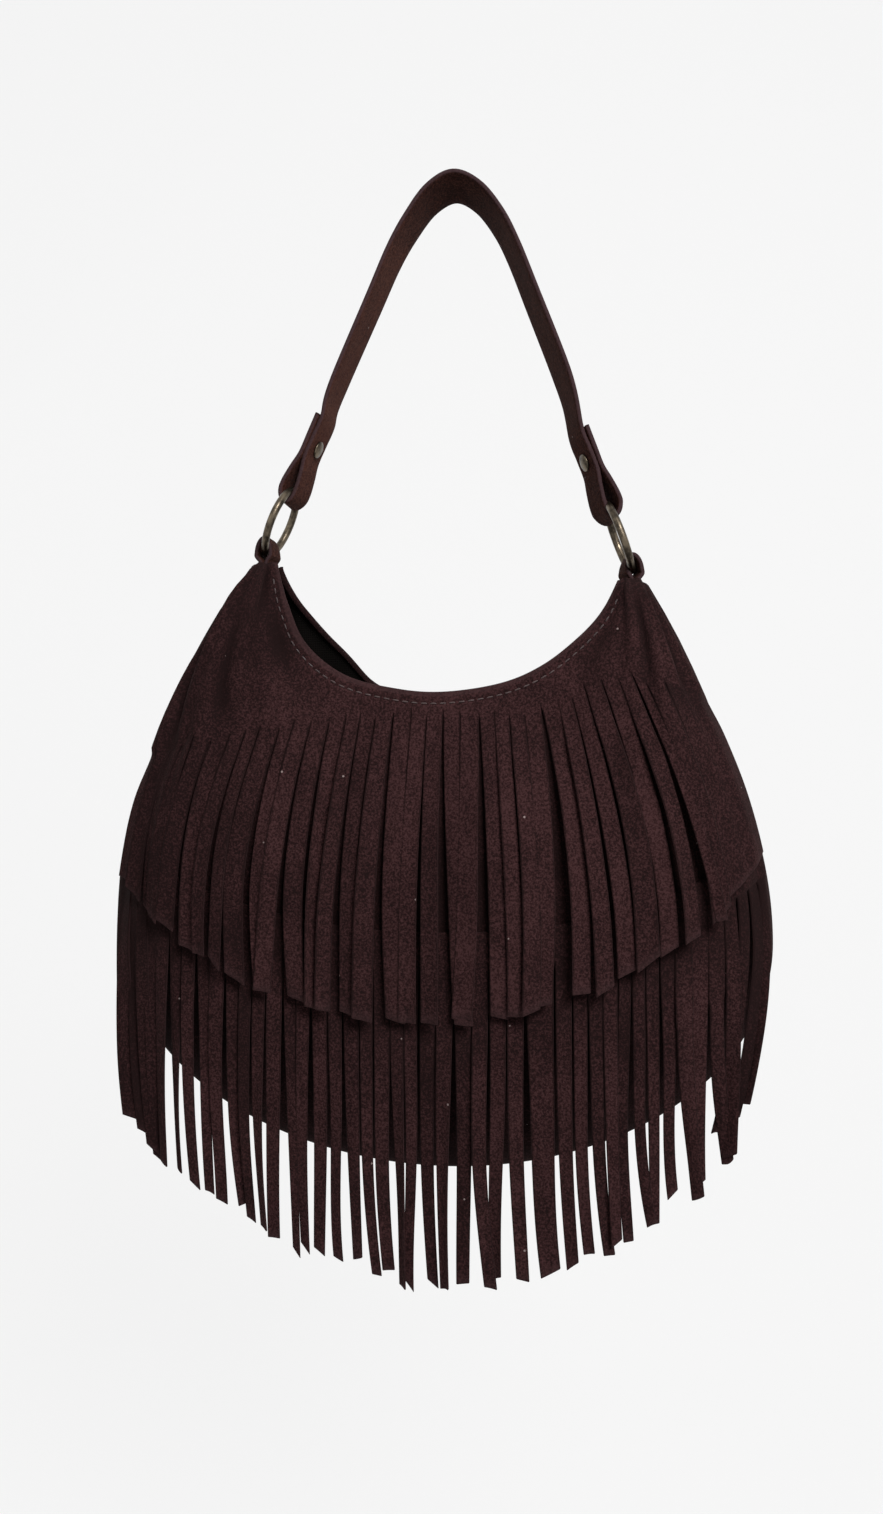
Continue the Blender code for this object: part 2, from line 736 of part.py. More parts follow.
def lower_slit(share):
    return LOWER_SLIT_Z + LOWER_SLIT_RISE * abs(share) ** LOWER_SLIT_POWER


def lower_tip(share):
    return LOWER_TIP_Z + LOWER_TIP_RISE * abs(share) ** LOWER_TIP_POWER


def make_lower_fringe(material):
    cuts = slit_shares(lower_slit, LOWER_SPAN, LOWER_STRANDS)
    columns = []
    for share in cuts:
        z = lower_slit(share)
        line = drape(share, [z + LOWER_BAND, z], lambda t: OVERLAY_GAP)
        columns.append([(point + out * (up + FRINGE_THICK), point + out * up)
                        for point, out, up in line])

    def lift(strand, t):
        return OVERLAY_GAP + STRAND_STEP * (strand % 2) * smooth(t * STEP_PACE)

    def sway(strand, t):
        curl = LOWER_CURL + LOWER_CURL_CHANGE * math.sin(strand * LOWER_CURL_PHASE)
        ripple = LOWER_RIPPLE * math.sin(strand * LOWER_RIPPLE_PHASE + 2 * t)
        return t ** LOWER_CURL_POWER * curl + t * ripple

    def trim(strand, t):
        uneven = LOWER_UNEVEN * math.sin(strand * LOWER_UNEVEN_PHASE + 2)
        return mix(LOWER_TRIM, LOWER_TAPER, t) + uneven * t

    return comb("lower_fringe", columns, 0, cuts, lower_slit, lower_tip, lift, sway, trim, material)


def build():
    brown = (0.032, 0.016, 0.015)
    body_suede = suede("body_suede", brown)
    fringe_suede = suede("fringe_suede", (0.036, 0.018, 0.017))
    strap_suede = suede("strap_suede", (0.040, 0.021, 0.018))
    lining_cloth = suede("lining_cloth", (0.008, 0.006, 0.006), 0.9)
    old_brass = brass("old_brass")
    cutters = [make_rivet("left", -1, LEFT_RING, LEFT_RING_TILT, old_brass),
               make_rivet("right", 1, RIGHT_RING, RIGHT_RING_TILT, old_brass)]
    make_strap(strap_suede, cutters)
    make_ring("left_ring", LEFT_RING, LEFT_RING_TILT, old_brass)
    make_ring("right_ring", RIGHT_RING, RIGHT_RING_TILT, old_brass)
    make_tab("left_tab", -1, LEFT_RING, LEFT_RING_TILT, strap_suede)
    make_tab("right_tab", 1, RIGHT_RING, RIGHT_RING_TILT, strap_suede)
    make_panel("front_panel", -1, FRONT_BELLY, body_suede)
    make_panel("back_panel", 1, BACK_BELLY, body_suede)
    make_lining("front_lining", -1, FRONT_BELLY, lining_cloth)
    make_lining("back_lining", 1, BACK_BELLY, lining_cloth)
    make_upper_fringe(fringe_suede)
    make_lower_fringe(fringe_suede)


build()
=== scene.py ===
# Looks of the fringed suede bag: its suede layers and strands, seams, lining, strap and brass.

import math
import bpy
import numpy as np
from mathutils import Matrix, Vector


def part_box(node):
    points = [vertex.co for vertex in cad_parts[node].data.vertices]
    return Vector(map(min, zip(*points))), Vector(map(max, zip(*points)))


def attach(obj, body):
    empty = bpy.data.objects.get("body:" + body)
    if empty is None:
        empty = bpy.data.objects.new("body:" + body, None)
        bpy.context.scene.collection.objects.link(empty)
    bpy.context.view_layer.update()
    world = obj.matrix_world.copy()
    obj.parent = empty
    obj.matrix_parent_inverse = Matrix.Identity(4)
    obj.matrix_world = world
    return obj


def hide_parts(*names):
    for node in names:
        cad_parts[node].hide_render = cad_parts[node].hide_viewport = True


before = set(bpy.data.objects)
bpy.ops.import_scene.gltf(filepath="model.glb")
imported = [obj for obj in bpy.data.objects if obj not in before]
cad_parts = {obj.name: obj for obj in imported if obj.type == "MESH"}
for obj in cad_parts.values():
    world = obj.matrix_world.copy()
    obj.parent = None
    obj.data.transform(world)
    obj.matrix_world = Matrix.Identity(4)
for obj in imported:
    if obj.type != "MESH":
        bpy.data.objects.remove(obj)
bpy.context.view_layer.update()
rng = np.random.default_rng(11)

# Leather and lining
PANEL_THICK = 0.0012
LINING_THICK = 0.0006
GAP = 0.0003
STRAND_THICK = 0.0014
OVERLAY_GAP = 0.0008

# Strap
STRAP_WIDTH = 0.028
STRAP_END_WIDTH = 0.020
STRAP_THICK = 0.0024
RUN_LEAN = (math.radians(2), math.radians(13))
END_LEAN = (math.radians(8), math.radians(18))
TAB_LEAN = {-1: math.radians(8), 1: math.radians(15)}
LAYER_GAP = 0.0004
LOOP_INNER_RADIUS = 0.0056
STRAP_LOOP_HALF = 0.0028
TAB_LOOP_HALF = 0.0027
TAB_SLACK = 0.0020
LOOP_SIDE_HEIGHT = 0.012
FLAP_LENGTH = 0.041
CLOSED_FROM = 0.019
STRAP_RUN = ((-0.0639, -0.1060), (-0.0429, -0.0583), (-0.0323, -0.0345), (-0.0231, -0.0186),
             (-0.0125, -0.0050), (0, STRAP_THICK / 2), (0.0125, -0.0050), (0.0231, -0.0186),
             (0.0310, -0.0345), (0.0403, -0.0583), (0.0583, -0.1060))

# Rings, rivets and tabs
RING_RADIUS = 0.018
RING_WIRE_RADIUS = 0.002
RING_SEAT_GAP = 0.0007
RING_TILT = {-1: math.radians(24), 1: math.radians(-20.6)}
RIVET_HEIGHT = 0.0252
RIVET_HEAD_RADIUS = 0.0045
TAB_WIDTH = 0.0135
TAB_THICK = 0.0022
TAB_LAYER_GAP = 0.0006
TAB_DEPTH = 0.030

# Bag body
NECK_DROP = 0.0061
CORNER_OUTER = 0.0056
CORNER_INNER = 0.0046
BODY_CENTRE_X = -0.0055
HALF_WIDTH_LEFT = 0.1781
HALF_WIDTH_RIGHT = 0.1710
WIDEST_Z = -0.397
BOTTOM_Z = -0.5183
LEFT_FULLNESS = (1.17, 2.33)
RIGHT_FULLNESS = (1.15, 2.0)
MOUTH_EDGE = ((-0.0885, -0.222), (-0.0785, -0.243), (-0.0580, -0.2595), (-0.0300, -0.2672),
              (-0.0040, -0.2690), (0.0260, -0.2645), (0.0480, -0.2550), (0.0670, -0.2400),
              (0.0790, -0.2260))
MOUTH_HALF_GAP = 0.018
FRONT_BELLY = 0.040
BACK_BELLY = 0.044
NECK_CLEARANCE = 0.0008
SET_BACK = 0.0085
SET_BACK_FALL = 0.130
SEAM_HALF = PANEL_THICK + GAP / 2
EDGE_V = 0.985
BACK_SLACK = 0.0125
LEFT_FOLD_HEIGHT = 0.0044
RIGHT_FOLD_HEIGHT = 0.0034
WAVE_HEIGHT = 0.0012


def mix(a, b, t):
    return a + (b - a) * t


def smooth(t):
    t = np.clip(t, 0.0, 1.0)
    return t * t * (3 - 2 * t)


def unit(vectors):
    return vectors / np.maximum(np.linalg.norm(vectors, axis=-1, keepdims=True), 1e-12)


def through(points, steps):
    """A smooth line through all the points."""
    p = np.array(points, float)
    ends = np.vstack([2 * p[0] - p[1], p, 2 * p[-1] - p[-2]])
    line = []
    for i in range(1, len(ends) - 2):
        a, b, c, d = ends[i - 1:i + 3]
        for t in np.arange(steps) / steps:
            line.append(0.5 * (2 * b + (c - a) * t + (2 * a - 5 * b + 4 * c - d) * t * t
                               + (3 * b - a - 3 * c + d) * t ** 3))
    return np.array(line + [p[-1]])


def evenly(line, count):
    """The same line as count points at equal distances along it."""
    run = np.concatenate([[0], np.cumsum(np.linalg.norm(np.diff(line, axis=0), axis=1))])
    marks = np.linspace(0, run[-1], count)
    return np.stack([np.interp(marks, run, line[:, k]) for k in range(line.shape[1])], -1)


# Where the solids are

def ring_frame(side):
    """A ring's centre and the direction in its plane that points up to the strap."""
    low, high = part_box("left_ring" if side < 0 else "right_ring")
    tilt = RING_TILT[side]
    return np.array((low + high) / 2), np.array((math.sin(tilt), 0, math.cos(tilt)))


def corner(side):
    """Where the mouth's edge and the side seam start, on either side of a tab, as X and Z."""
    centre, up = ring_frame(side)
    wire = centre - up * RING_RADIUS
    height = wire[2] - NECK_DROP
    return (wire[0] - side * CORNER_INNER, height), (wire[0] + side * CORNER_OUTER, height)


CORNERS = {side: corner(side) for side in (-1, 1)}


def side_x(side, z):
    side = np.sign(side + 0.0)
    left, right = CORNERS[-1][1], CORNERS[1][1]
    start_x = np.where(side < 0, left[0], right[0])
    start_z = np.where(side < 0, left[1], right[1])
    slow = np.where(side < 0, LEFT_FULLNESS[0], RIGHT_FULLNESS[0])
    power = np.where(side < 0, LEFT_FULLNESS[1], RIGHT_FULLNESS[1])
    widest = BODY_CENTRE_X + np.where(side < 0, -HALF_WIDTH_LEFT, HALF_WIDTH_RIGHT)
    fall = np.clip((start_z - z) / (start_z - WIDEST_Z), 0.0, 1.0)
    return mix(start_x, widest, 1 - (1 - fall ** slow) ** power)


def spread_x(share, z):
    """The X at this share of the body's half width, -1 at the left seam and 1 at the right one."""
    side = np.where(share < 0, -1.0, 1.0)
    return BODY_CENTRE_X + np.abs(share) * (side_x(side, z) - BODY_CENTRE_X)


def seam_line():
    t = np.arange(240) / 240
    left = mix(CORNERS[-1][1][1], WIDEST_Z, t ** 1.5)
    right = mix(CORNERS[1][1][1], WIDEST_Z, t[::-1] ** 1.5)
    angle = np.linspace(0, math.pi, 481)
    half_width = np.where(angle < math.pi / 2, HALF_WIDTH_LEFT, HALF_WIDTH_RIGHT)
    bottom = np.stack([BODY_CENTRE_X - half_width * np.cos(angle),
                       WIDEST_Z + (BOTTOM_Z - WIDEST_Z) * np.sin(angle)], -1)
    return evenly(np.vstack([np.stack([side_x(-1, left), left], -1), bottom,
                             np.stack([side_x(1, right), right], -1)]), 961)


SEAM = seam_line()
MOUTH = evenly(through([CORNERS[-1][0], *MOUTH_EDGE, CORNERS[1][0]], 24), 961)


def on_line(line, u):
    place = (np.clip(u, -1.0, 1.0) + 1) / 2
    share = np.linspace(0, 1, len(line))
    return np.stack([np.interp(place, share, line[:, k]) for k in (0, 1)], -1)


def set_back(z):
    return SET_BACK * smooth((CORNERS[-1][0][1] - z) / SET_BACK_FALL)


def half_depth(u, v, belly):
    neck = TAB_WIDTH / 2 + PANEL_THICK + NECK_CLEARANCE
    mouth = mix(MOUTH_HALF_GAP, neck, np.abs(u) ** 3)
    swell = np.sin(math.pi * v) * (1 - np.abs(u) ** 4) ** 0.8
    blunt = np.sqrt(np.maximum(1 - v ** (8 - 4.5 * np.abs(u) ** 6), 0.0))
    return SEAM_HALF + (mouth - SEAM_HALF) * blunt + (belly - mouth) * swell


def body(u, v, face):
    """Points of the body's outer surface, face -1 for the front and 1 for the back."""
    u, v = np.broadcast_arrays(np.clip(u, -1.0, 1.0), np.clip(v, 0.0, 1.0))
    flat = mix(on_line(MOUTH, u), on_line(SEAM, u), v[..., None])
    if face > 0:
        slack = np.exp(-((u + 0.56) / 0.26) ** 2) * (1 - v) ** 3
        flat = flat + slack[..., None] * np.array((BACK_SLACK, BACK_SLACK * 0.35))
    depth = half_depth(u, v, FRONT_BELLY if face < 0 else BACK_BELLY)
    return np.stack([flat[..., 0], set_back(flat[..., 1]) + face * depth, flat[..., 1]], -1)


def body_normal(u, v, face):
    step = 0.004
    u = np.clip(u, -1 + step, 1 - step)
    v = np.clip(v, step, 0.999 - step)
    du = body(u + step, v, face) - body(u - step, v, face)
    dv = body(u, v + step, face) - body(u, v - step, face)
    return unit(np.cross(du, dv) * face)


def ridges(turns):
    """Rounded ridges with narrow valleys between them, one for each turn, about as deep as high."""
    return 1.2 * np.sqrt(0.02 + np.cos(math.pi * turns) ** 2) - 0.75


def relief(u, v, face):
    """How far soft folds raise the leather: gathers from the necks and slow waves lower down."""
    u, v = np.broadcast_arrays(u, v)
    lean = np.where(u < 0, 0.9, 2.1)
    away = 1 - np.abs(u)
    folds = ridges(3.4 * v + 1.1 * away + lean) + 0.6 * ridges(6.1 * v - 1.3 * away + 1.7 * lean)
    near_neck = smooth((np.abs(u) - 0.38) / 0.3) * smooth(away / 0.08)
    slow = np.sin(9.0 * u + 4.2 * v + face) * np.sin(5.0 * v + 1.0) \
        + 0.5 * np.sin(17.0 * u - 3.0 * v + 2.0 * face)
    inside = smooth(v / 0.12) * smooth((1.0 - v) / 0.10)
    fold_height = np.where(u < 0, LEFT_FOLD_HEIGHT, RIGHT_FOLD_HEIGHT)
    return (fold_height * folds * near_neck + WAVE_HEIGHT * slow * (1 - 0.7 * near_neck)) * inside


def raised(u, v, face, height):
    """Points at a height above the folded surface, or below it, on their own side of the seam."""
    u, v, height = np.broadcast_arrays(u, v, height)
    p = body(u, v, face)
    p = p + body_normal(u, v, face) * (height + relief(u, v, face))[..., None]
    seam_y = set_back(p[..., 2])
    p[..., 1] = seam_y + face * np.maximum(face * (p[..., 1] - seam_y), GAP / 2)
    return p


def locate(x, z):
    """The u and v of the front's point at this place, with v over 1 outside the seam."""
    low, high = np.full(x.shape, -1.0), np.full(x.shape, 1.0)
    for _ in range(26):
        u = (low + high) / 2
        top = on_line(MOUTH, u)
        way = on_line(SEAM, u) - top
        beyond = way[..., 0] * (z - top[..., 1]) - way[..., 1] * (x - top[..., 0]) > 0
        low, high = np.where(beyond, u, low), np.where(beyond, high, u)
    top = on_line(MOUTH, u)
    way = on_line(SEAM, u) - top
    v = ((x - top[..., 0]) * way[..., 0] + (z - top[..., 1]) * way[..., 1]) / (way ** 2).sum(-1)
    return u, v


def soften(rows, times):
    """Averages each row with its neighbours, the first and the last row kept."""
    for _ in range(times):
        rows = np.concatenate([rows[:1], (rows[:-2] + 2 * rows[1:-1] + rows[2:]) / 4, rows[-1:]])
    return rows


def drape(share, z):
    """Points and normals of leather that lies on the front and hangs free past the belly.

    Both arrays are rows from the top down by columns.
    """
    x = spread_x(share, z)
    u, v = locate(x, z)
    near = np.minimum(v, EDGE_V)
    p = body(u, near, -1)
    normal = body_normal(u, near, -1)
    p = p + normal * relief(u, near, -1)[..., None]
    y = np.where(v > EDGE_V, 1.0, p[..., 1])
    deepest = np.minimum.accumulate(y, axis=0)
    lying = y <= deepest + 1e-9
    rows = np.arange(len(y))[:, None]
    last = np.maximum.accumulate(np.where(lying, rows, 0), axis=0)
    level = normal * np.array((1.0, 1.0, 0.0))
    held = np.take_along_axis(unit(level), last[..., None], axis=0)
    normal = np.where(lying[..., None], normal, held)
    x = np.where(lying, p[..., 0], x)
    points = np.stack([x, deepest, z], -1)
    return soften(points, 4), unit(soften(normal, 6))


# Meshes

class Shell:
    """Collects points, faces and two shades for each point: its rawness and its tone. The tone holds
    painted shade and light as well as the leather's own tone.
    """

    def __init__(self):
        self.points, self.faces, self.raw, self.tone = [], [], [], []
        self.count = 0

    def add(self, points, raw=0.0, tone=0.0):
        shape = points.shape[:-1]
        size = int(np.prod(shape))
        self.points.append(points.reshape(-1, 3))
        self.raw.append(np.broadcast_to(raw, shape).reshape(-1))
        self.tone.append(np.broadcast_to(tone, shape).reshape(-1))
        places = np.arange(self.count, self.count + size).reshape(shape)
        self.count += size
        return places

    def skin(self, grid, closed=False):
        """Faces between neighbouring rows and columns of an array of places."""
        if closed:
            grid = np.concatenate([grid, grid[:, :1]], axis=1)
        quads = np.stack([grid[:-1, :-1], grid[1:, :-1], grid[1:, 1:], grid[:-1, 1:]], -1)
        self.faces += quads.reshape(-1, 4).tolist()

    def build(self, name, material):
        mesh = bpy.data.meshes.new(name)
        mesh.from_pydata(np.vstack(self.points).tolist(), [], self.faces)
        for label, values in (("raw", self.raw), ("tone", self.tone)):
            shade = mesh.attributes.new(label, "FLOAT", "POINT")
            shade.data.foreach_set("value", np.concatenate(values).astype(np.float32))
        mesh.shade_smooth()
        mesh.materials.append(material)
        obj = bpy.data.objects.new(name, mesh)
        bpy.context.scene.collection.objects.link(obj)
        return obj


def put(obj, body_name, slot, *nodes):
    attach(obj, body_name)
    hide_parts(*nodes)
    return obj


def close_band(shell, outer, inner):
    """Walls round a layer between two equal grids of places, the bottom left open."""
    shell.skin(outer)
    shell.skin(inner[:, ::-1])
    shell.skin(np.stack([inner[0], outer[0]]))
    shell.skin(np.stack([inner[:, 0], outer[:, 0]], 1))
    shell.skin(np.stack([outer[:, -1], inner[:, -1]], 1))


def round_section(half_width, thick, radius, across_steps=6, corner_steps=3):
    """A flat strip's rounded section: its points' places across and out, and how raw each is."""
    flat = half_width - radius

    def rounded(side, up, start, end):
        angles = np.radians(np.linspace(start, end, corner_steps + 1)[1:])
        return [(side * flat + radius * math.cos(a), up * (thick / 2 - radius) + radius * math.sin(a),
                 1.0 if abs(math.cos(a)) > 0.51 else 0.4) for a in angles]

    points = [(x, thick / 2, 0.0) for x in np.linspace(-flat, flat, across_steps + 1)]
    points += rounded(1, 1, 90, 0) + rounded(1, -1, 0, -90)
    points += [(x, -thick / 2, 0.0) for x in np.linspace(flat, -flat, across_steps + 1)[1:]]
    points += rounded(-1, -1, 270, 180) + rounded(-1, 1, 180, 90)
    return np.array(points[:-1]).T


def swept(name, line, half_widths, leans, thick, material, tone=0.0):
    """A flat strap with softly rounded raw edges along a line in the XZ plane."""
    along = unit(np.gradient(line, axis=0))
    out = np.stack([-along[:, 2], np.zeros(len(line)), along[:, 0]], -1)
    wide = np.array((0.0, 1.0, 0.0))
    lean = np.array(leans)[:, None]
    across = wide * np.cos(lean) - out * np.sin(lean)
    face = out * np.cos(lean) + wide * np.sin(lean)
    shell = Shell()
    rings = []
    for i, point in enumerate(line):
        a, o, raw = round_section(half_widths[i], thick, thick * 0.42)
        rings.append(point + across[i] * a[:, None] + face[i] * o[:, None])
    grid = shell.add(np.array(rings), raw=raw, tone=np.reshape(tone, (-1, 1)))
    shell.skin(grid, closed=True)
    for end, order in ((0, 1), (-1, -1)):
        middle = rings[end].mean(0, keepdims=True)
        hub = shell.add(middle, raw=1.0)
        loop = grid[end][::order]
        for a, b in zip(loop, np.roll(loop, -1)):
            shell.faces.append([int(hub[0]), int(b), int(a)])
    return shell.build(name, material)


# Materials

class Paint:
    """A node material with a few short ways to add to it."""

    def __init__(self, name):
        self.material = bpy.data.materials.new(name)
        self.material.use_nodes = True
        self.tree = self.material.node_tree
        self.shader = self.tree.nodes["Principled BSDF"]
        self.place = self.node("ShaderNodeTexCoord").outputs["Object"]

    def node(self, kind, inputs=None, **settings):
        node = self.tree.nodes.new(kind)
        for key, value in settings.items():
            setattr(node, key, value)
        for key, value in (inputs or {}).items():
            if isinstance(value, bpy.types.NodeSocket):
                self.tree.links.new(value, node.inputs[key])
            else:
                node.inputs[key].default_value = value
        return node

    def noise(self, scale, detail=3.0, rough=0.55, stretch=None, warp=0.0):
        place = self.place
        if stretch:
            place = self.node("ShaderNodeMapping", {"Vector": place, "Scale": stretch}).outputs[0]
        return self.node("ShaderNodeTexNoise", {"Vector": place, "Scale": scale, "Detail": detail,
                                                "Roughness": rough, "Distortion": warp}).outputs[0]

    def levels(self, value, low, high, to_low=0.0, to_high=1.0):
        return self.node("ShaderNodeMapRange", {"Value": value, "From Min": low, "From Max": high,
                                                "To Min": to_low, "To Max": to_high}).outputs[0]

    def maths(self, how, a, b):
        return self.node("ShaderNodeMath", {0: a, 1: b}, operation=how).outputs[0]

    def blend(self, factor, a, b):
        node = self.node("ShaderNodeMix", data_type="RGBA")
        for key, value in ((0, factor), (6, a), (7, b)):
            if isinstance(value, bpy.types.NodeSocket):
                self.tree.links.new(value, node.inputs[key])
            elif key:
                node.inputs[key].default_value = (*value, 1)
            else:
                node.inputs[key].default_value = value
        return node.outputs[2]

    def shade(self, name):
        return self.node("ShaderNodeAttribute", attribute_name=name).outputs["Fac"]

    def bump(self, height, strength, distance, normal=None):
        inputs = {"Height": height, "Strength": strength, "Distance": distance}
        if normal:
            inputs["Normal"] = normal
        return self.node("ShaderNodeBump", inputs).outputs[0]

    def set(self, **inputs):
        names = {"base": "Base Color", "rough": "Roughness", "normal": "Normal", "metal": "Metallic",
                 "sheen": "Sheen Weight", "sheen_rough": "Sheen Roughness", "sheen_tint": "Sheen Tint",
                 "specular": "Specular IOR Level"}
        for key, value in inputs.items():
            socket = self.shader.inputs[names[key]]
            if isinstance(value, bpy.types.NodeSocket):
                self.tree.links.new(value, socket)
            else:
                socket.default_value = value


def suede(name, dark, base, light, raw, sheen=0.025, smoothness=0.0):
    """Napped leather: cloudy brushed tones, fine fibres, paler raw edges and a few specks of lint."""
    paint = Paint(name)
    clouds = paint.noise(26, 4, 0.6, warp=0.4)
    brushed = paint.noise(60, 5, 0.65, stretch=(2.6, 2.6, 0.7), warp=0.8)
    grain = paint.noise(900, 3, 0.8)
    fibres = paint.noise(1500, 3, 0.6, stretch=(1.0, 1.0, 0.35))
    tone = paint.maths("ADD", paint.levels(clouds, 0.3, 0.7, -0.5, 0.5),
                       paint.levels(brushed, 0.3, 0.7, -0.42, 0.42))
    tone = paint.maths("ADD", tone, paint.levels(grain, 0.40, 0.60, -1.3, 1.3))
    # The tone attribute brings in each mesh's painted shade and light along with its own random tone.
    tone = paint.maths("ADD", tone, paint.shade("tone"))
    lower = paint.levels(tone, -1.3, 0.0)
    upper = paint.levels(tone, 0.0, 1.4)
    colour = paint.blend(upper, paint.blend(lower, dark, base), light)
    ragged = paint.maths("MULTIPLY", paint.shade("raw"), paint.levels(grain, 0.25, 0.6, 0.35, 1.0))
    colour = paint.blend(ragged, colour, raw)
    specks = paint.node("ShaderNodeTexVoronoi", {"Vector": paint.place, "Scale": 130.0})
    small = paint.maths("LESS_THAN", specks.outputs["Distance"], 0.07)
    few = paint.node("ShaderNodeSeparateColor", {0: specks.outputs["Color"]}).outputs[0]
    lint = paint.maths("MULTIPLY", small, paint.maths("GREATER_THAN", few, 0.88))
    colour = paint.blend(lint, colour, (0.26, 0.20, 0.19))
    fine = paint.maths("ADD", grain, paint.maths("MULTIPLY", fibres, 0.5))
    normal = paint.bump(clouds, 0.35, 0.004)
    normal = paint.bump(fine, 0.55 - 0.4 * smoothness, 0.0006, normal)
    paint.set(base=colour, rough=0.92 - 0.35 * smoothness, normal=normal, specular=0.07,
              sheen=sheen, sheen_rough=0.55, sheen_tint=(0.60, 0.34, 0.32, 1))
    return paint.material


def lining_cloth(name):
    """Black plain-woven cloth with a faint crease tone."""
    paint = Paint(name)
    clouds = paint.noise(30, 3)
    warp, weft = (paint.node("ShaderNodeTexWave", {"Vector": paint.place, "Scale": 260.0,
                                                   "Distortion": 0.6, "Detail": 1.0},
                             bands_direction=way).outputs["Fac"] for way in ("X", "Z"))
    weave = paint.maths("MAXIMUM", warp, weft)
    colour = paint.blend(paint.levels(weave, 0.2, 1.0), (0.0022, 0.0018, 0.0016),
                         (0.0062, 0.0052, 0.0046))
    colour = paint.blend(paint.levels(clouds, 0.35, 0.7, 0.0, 0.5), colour, (0.0085, 0.0070, 0.0062))
    paint.set(base=colour, rough=0.9, normal=paint.bump(weave, 0.5, 0.0003), sheen=0.0, specular=0.05)
    return paint.material


def old_brass(name):
    """Antique brass: dull dark patches, brighter where it is rubbed, with fine scratches."""
    paint = Paint(name)
    patches = paint.noise(220, 5, 0.6)
    fine = paint.noise(1800, 3, 0.6)
    scratches = paint.noise(900, 2, 0.5, stretch=(1.0, 0.12, 1.0))
    colour = paint.blend(paint.levels(patches, 0.36, 0.62), (0.036, 0.029, 0.022),
                         (0.150, 0.121, 0.086))
    rough = paint.levels(patches, 0.3, 0.7, 0.46, 0.27)
    normal = paint.bump(fine, 0.18, 0.0002, paint.bump(scratches, 0.12, 0.0002))
    paint.set(base=colour, rough=rough, metal=1.0, normal=normal)
    return paint.material


def thread(name):
    paint = Paint(name)
    strands = paint.node("ShaderNodeTexWave", {"Vector": paint.place, "Scale": 900.0, "Distortion": 1.5},
                         bands_direction="DIAGONAL").outputs["Fac"]
    colour = paint.blend(strands, (0.030, 0.016, 0.015), (0.090, 0.052, 0.050))
    colour = paint.blend(paint.shade("tone"), (0.034, 0.017, 0.017), colour)
    paint.set(base=colour, rough=0.6, normal=paint.bump(strands, 0.5, 0.0002), sheen=0.2)
    return paint.material


BODY_SUEDE = suede("body_suede", (0.011, 0.0050, 0.0050), (0.0275, 0.0110, 0.0113),
                   (0.050, 0.0215, 0.0220), (0.050, 0.026, 0.027))
FRINGE_SUEDE = suede("fringe_suede", (0.011, 0.0050, 0.0050), (0.0275, 0.0110, 0.0113),
                     (0.054, 0.0232, 0.0238), (0.050, 0.025, 0.026))
STRAP_SUEDE = suede("strap_suede", (0.016, 0.0056, 0.0042), (0.036, 0.0122, 0.0092),
                    (0.076, 0.029, 0.020), (0.046, 0.027, 0.030), sheen=0.01, smoothness=0.2)
LINING = lining_cloth("lining_cloth")
BRASS = old_brass("old_brass")
THREAD = thread("seam_thread")


# Suede layers of the body

ROLL_STEPS = 8
FACING_STEPS = 5
FRONT_FACING = 0.010
BACK_FACING = 0.0003
STITCH_DEPTH = 0.0037
# Painted shade on leather that lies under another layer.
PAINTED_COVER_SHADE = -0.9
# Painted shade over the whole front panel, which lies under the fringe.
PAINTED_FRONT_SHADE = -1.2
# Painted shade inside the bag: on the panels' inner faces and the turned edge at the mouth.
PAINTED_INSIDE_SHADE = -1.3
RIM_RAW = 0.6
# Painted shade in the valleys of the yoke's folds, full where they are VALLEY_DEPTH deep.
VALLEY_DEPTH = 0.0030
PAINTED_VALLEY_SHADE = 1.3
FACE_ROWS = 34


def painted_side_shade(share):
    """Painted shade: the leather is darker towards both sides, more so at the right edge."""
    return -0.75 * smooth((-share - 0.40) / 0.35) - 0.90 * smooth((share - 0.82) / 0.12)


def turned_edge(u, face, near, far, height):
    """Rows that lead from inside the bag, round the mouth's edge, to the outer face.

    near and far are the heights of the layer's middle outside and inside, and height is how far
    the wanted surface lies outside that middle.
    """
    middle = (near + far) / 2
    radius = (near - far) / 2 + height
    edge = raised(u, 0.0, face, middle)
    normal = body_normal(u, 0.0 * u, face)
    down = unit(body(u, 0.0 * u + 0.03, face) - body(u, 0.0 * u, face))
    room = smooth((0.985 - np.abs(u)) / 0.09)
    rows = []
    for i in range(FACING_STEPS, 0, -1):
        depth = FRONT_FACING if face < 0 else BACK_FACING
        fall = depth * i / FACING_STEPS * mix(0.15, 1.0, room)
        rows.append(edge - normal * radius + down * fall[..., None])
    for i in range(ROLL_STEPS):
        angle = math.pi * (1 - i / ROLL_STEPS)
        rows.append(edge + normal * radius * math.cos(angle) - down * radius * math.sin(angle))
    return rows


def groove(distance):
    """The dip along the stitches, and the fuller roll above it."""
    return -0.00035 * np.exp(-((distance - STITCH_DEPTH) / 0.0011) ** 2) \
        + 0.00035 * np.exp(-((distance - 0.0012) / 0.0016) ** 2)


def face_rows(u, ends, count, face, height):
    """Rows down the outer face from the mouth's edge to the v of each column in ends."""
    length = np.linalg.norm(body(u, ends, face) - body(u, 0.0 * u, face), axis=-1)
    rows = []
    for share in np.linspace(0, 1, count + 1) ** 1.35:
        rows.append(raised(u, ends * share, face, height + groove(length * share)))
    return rows


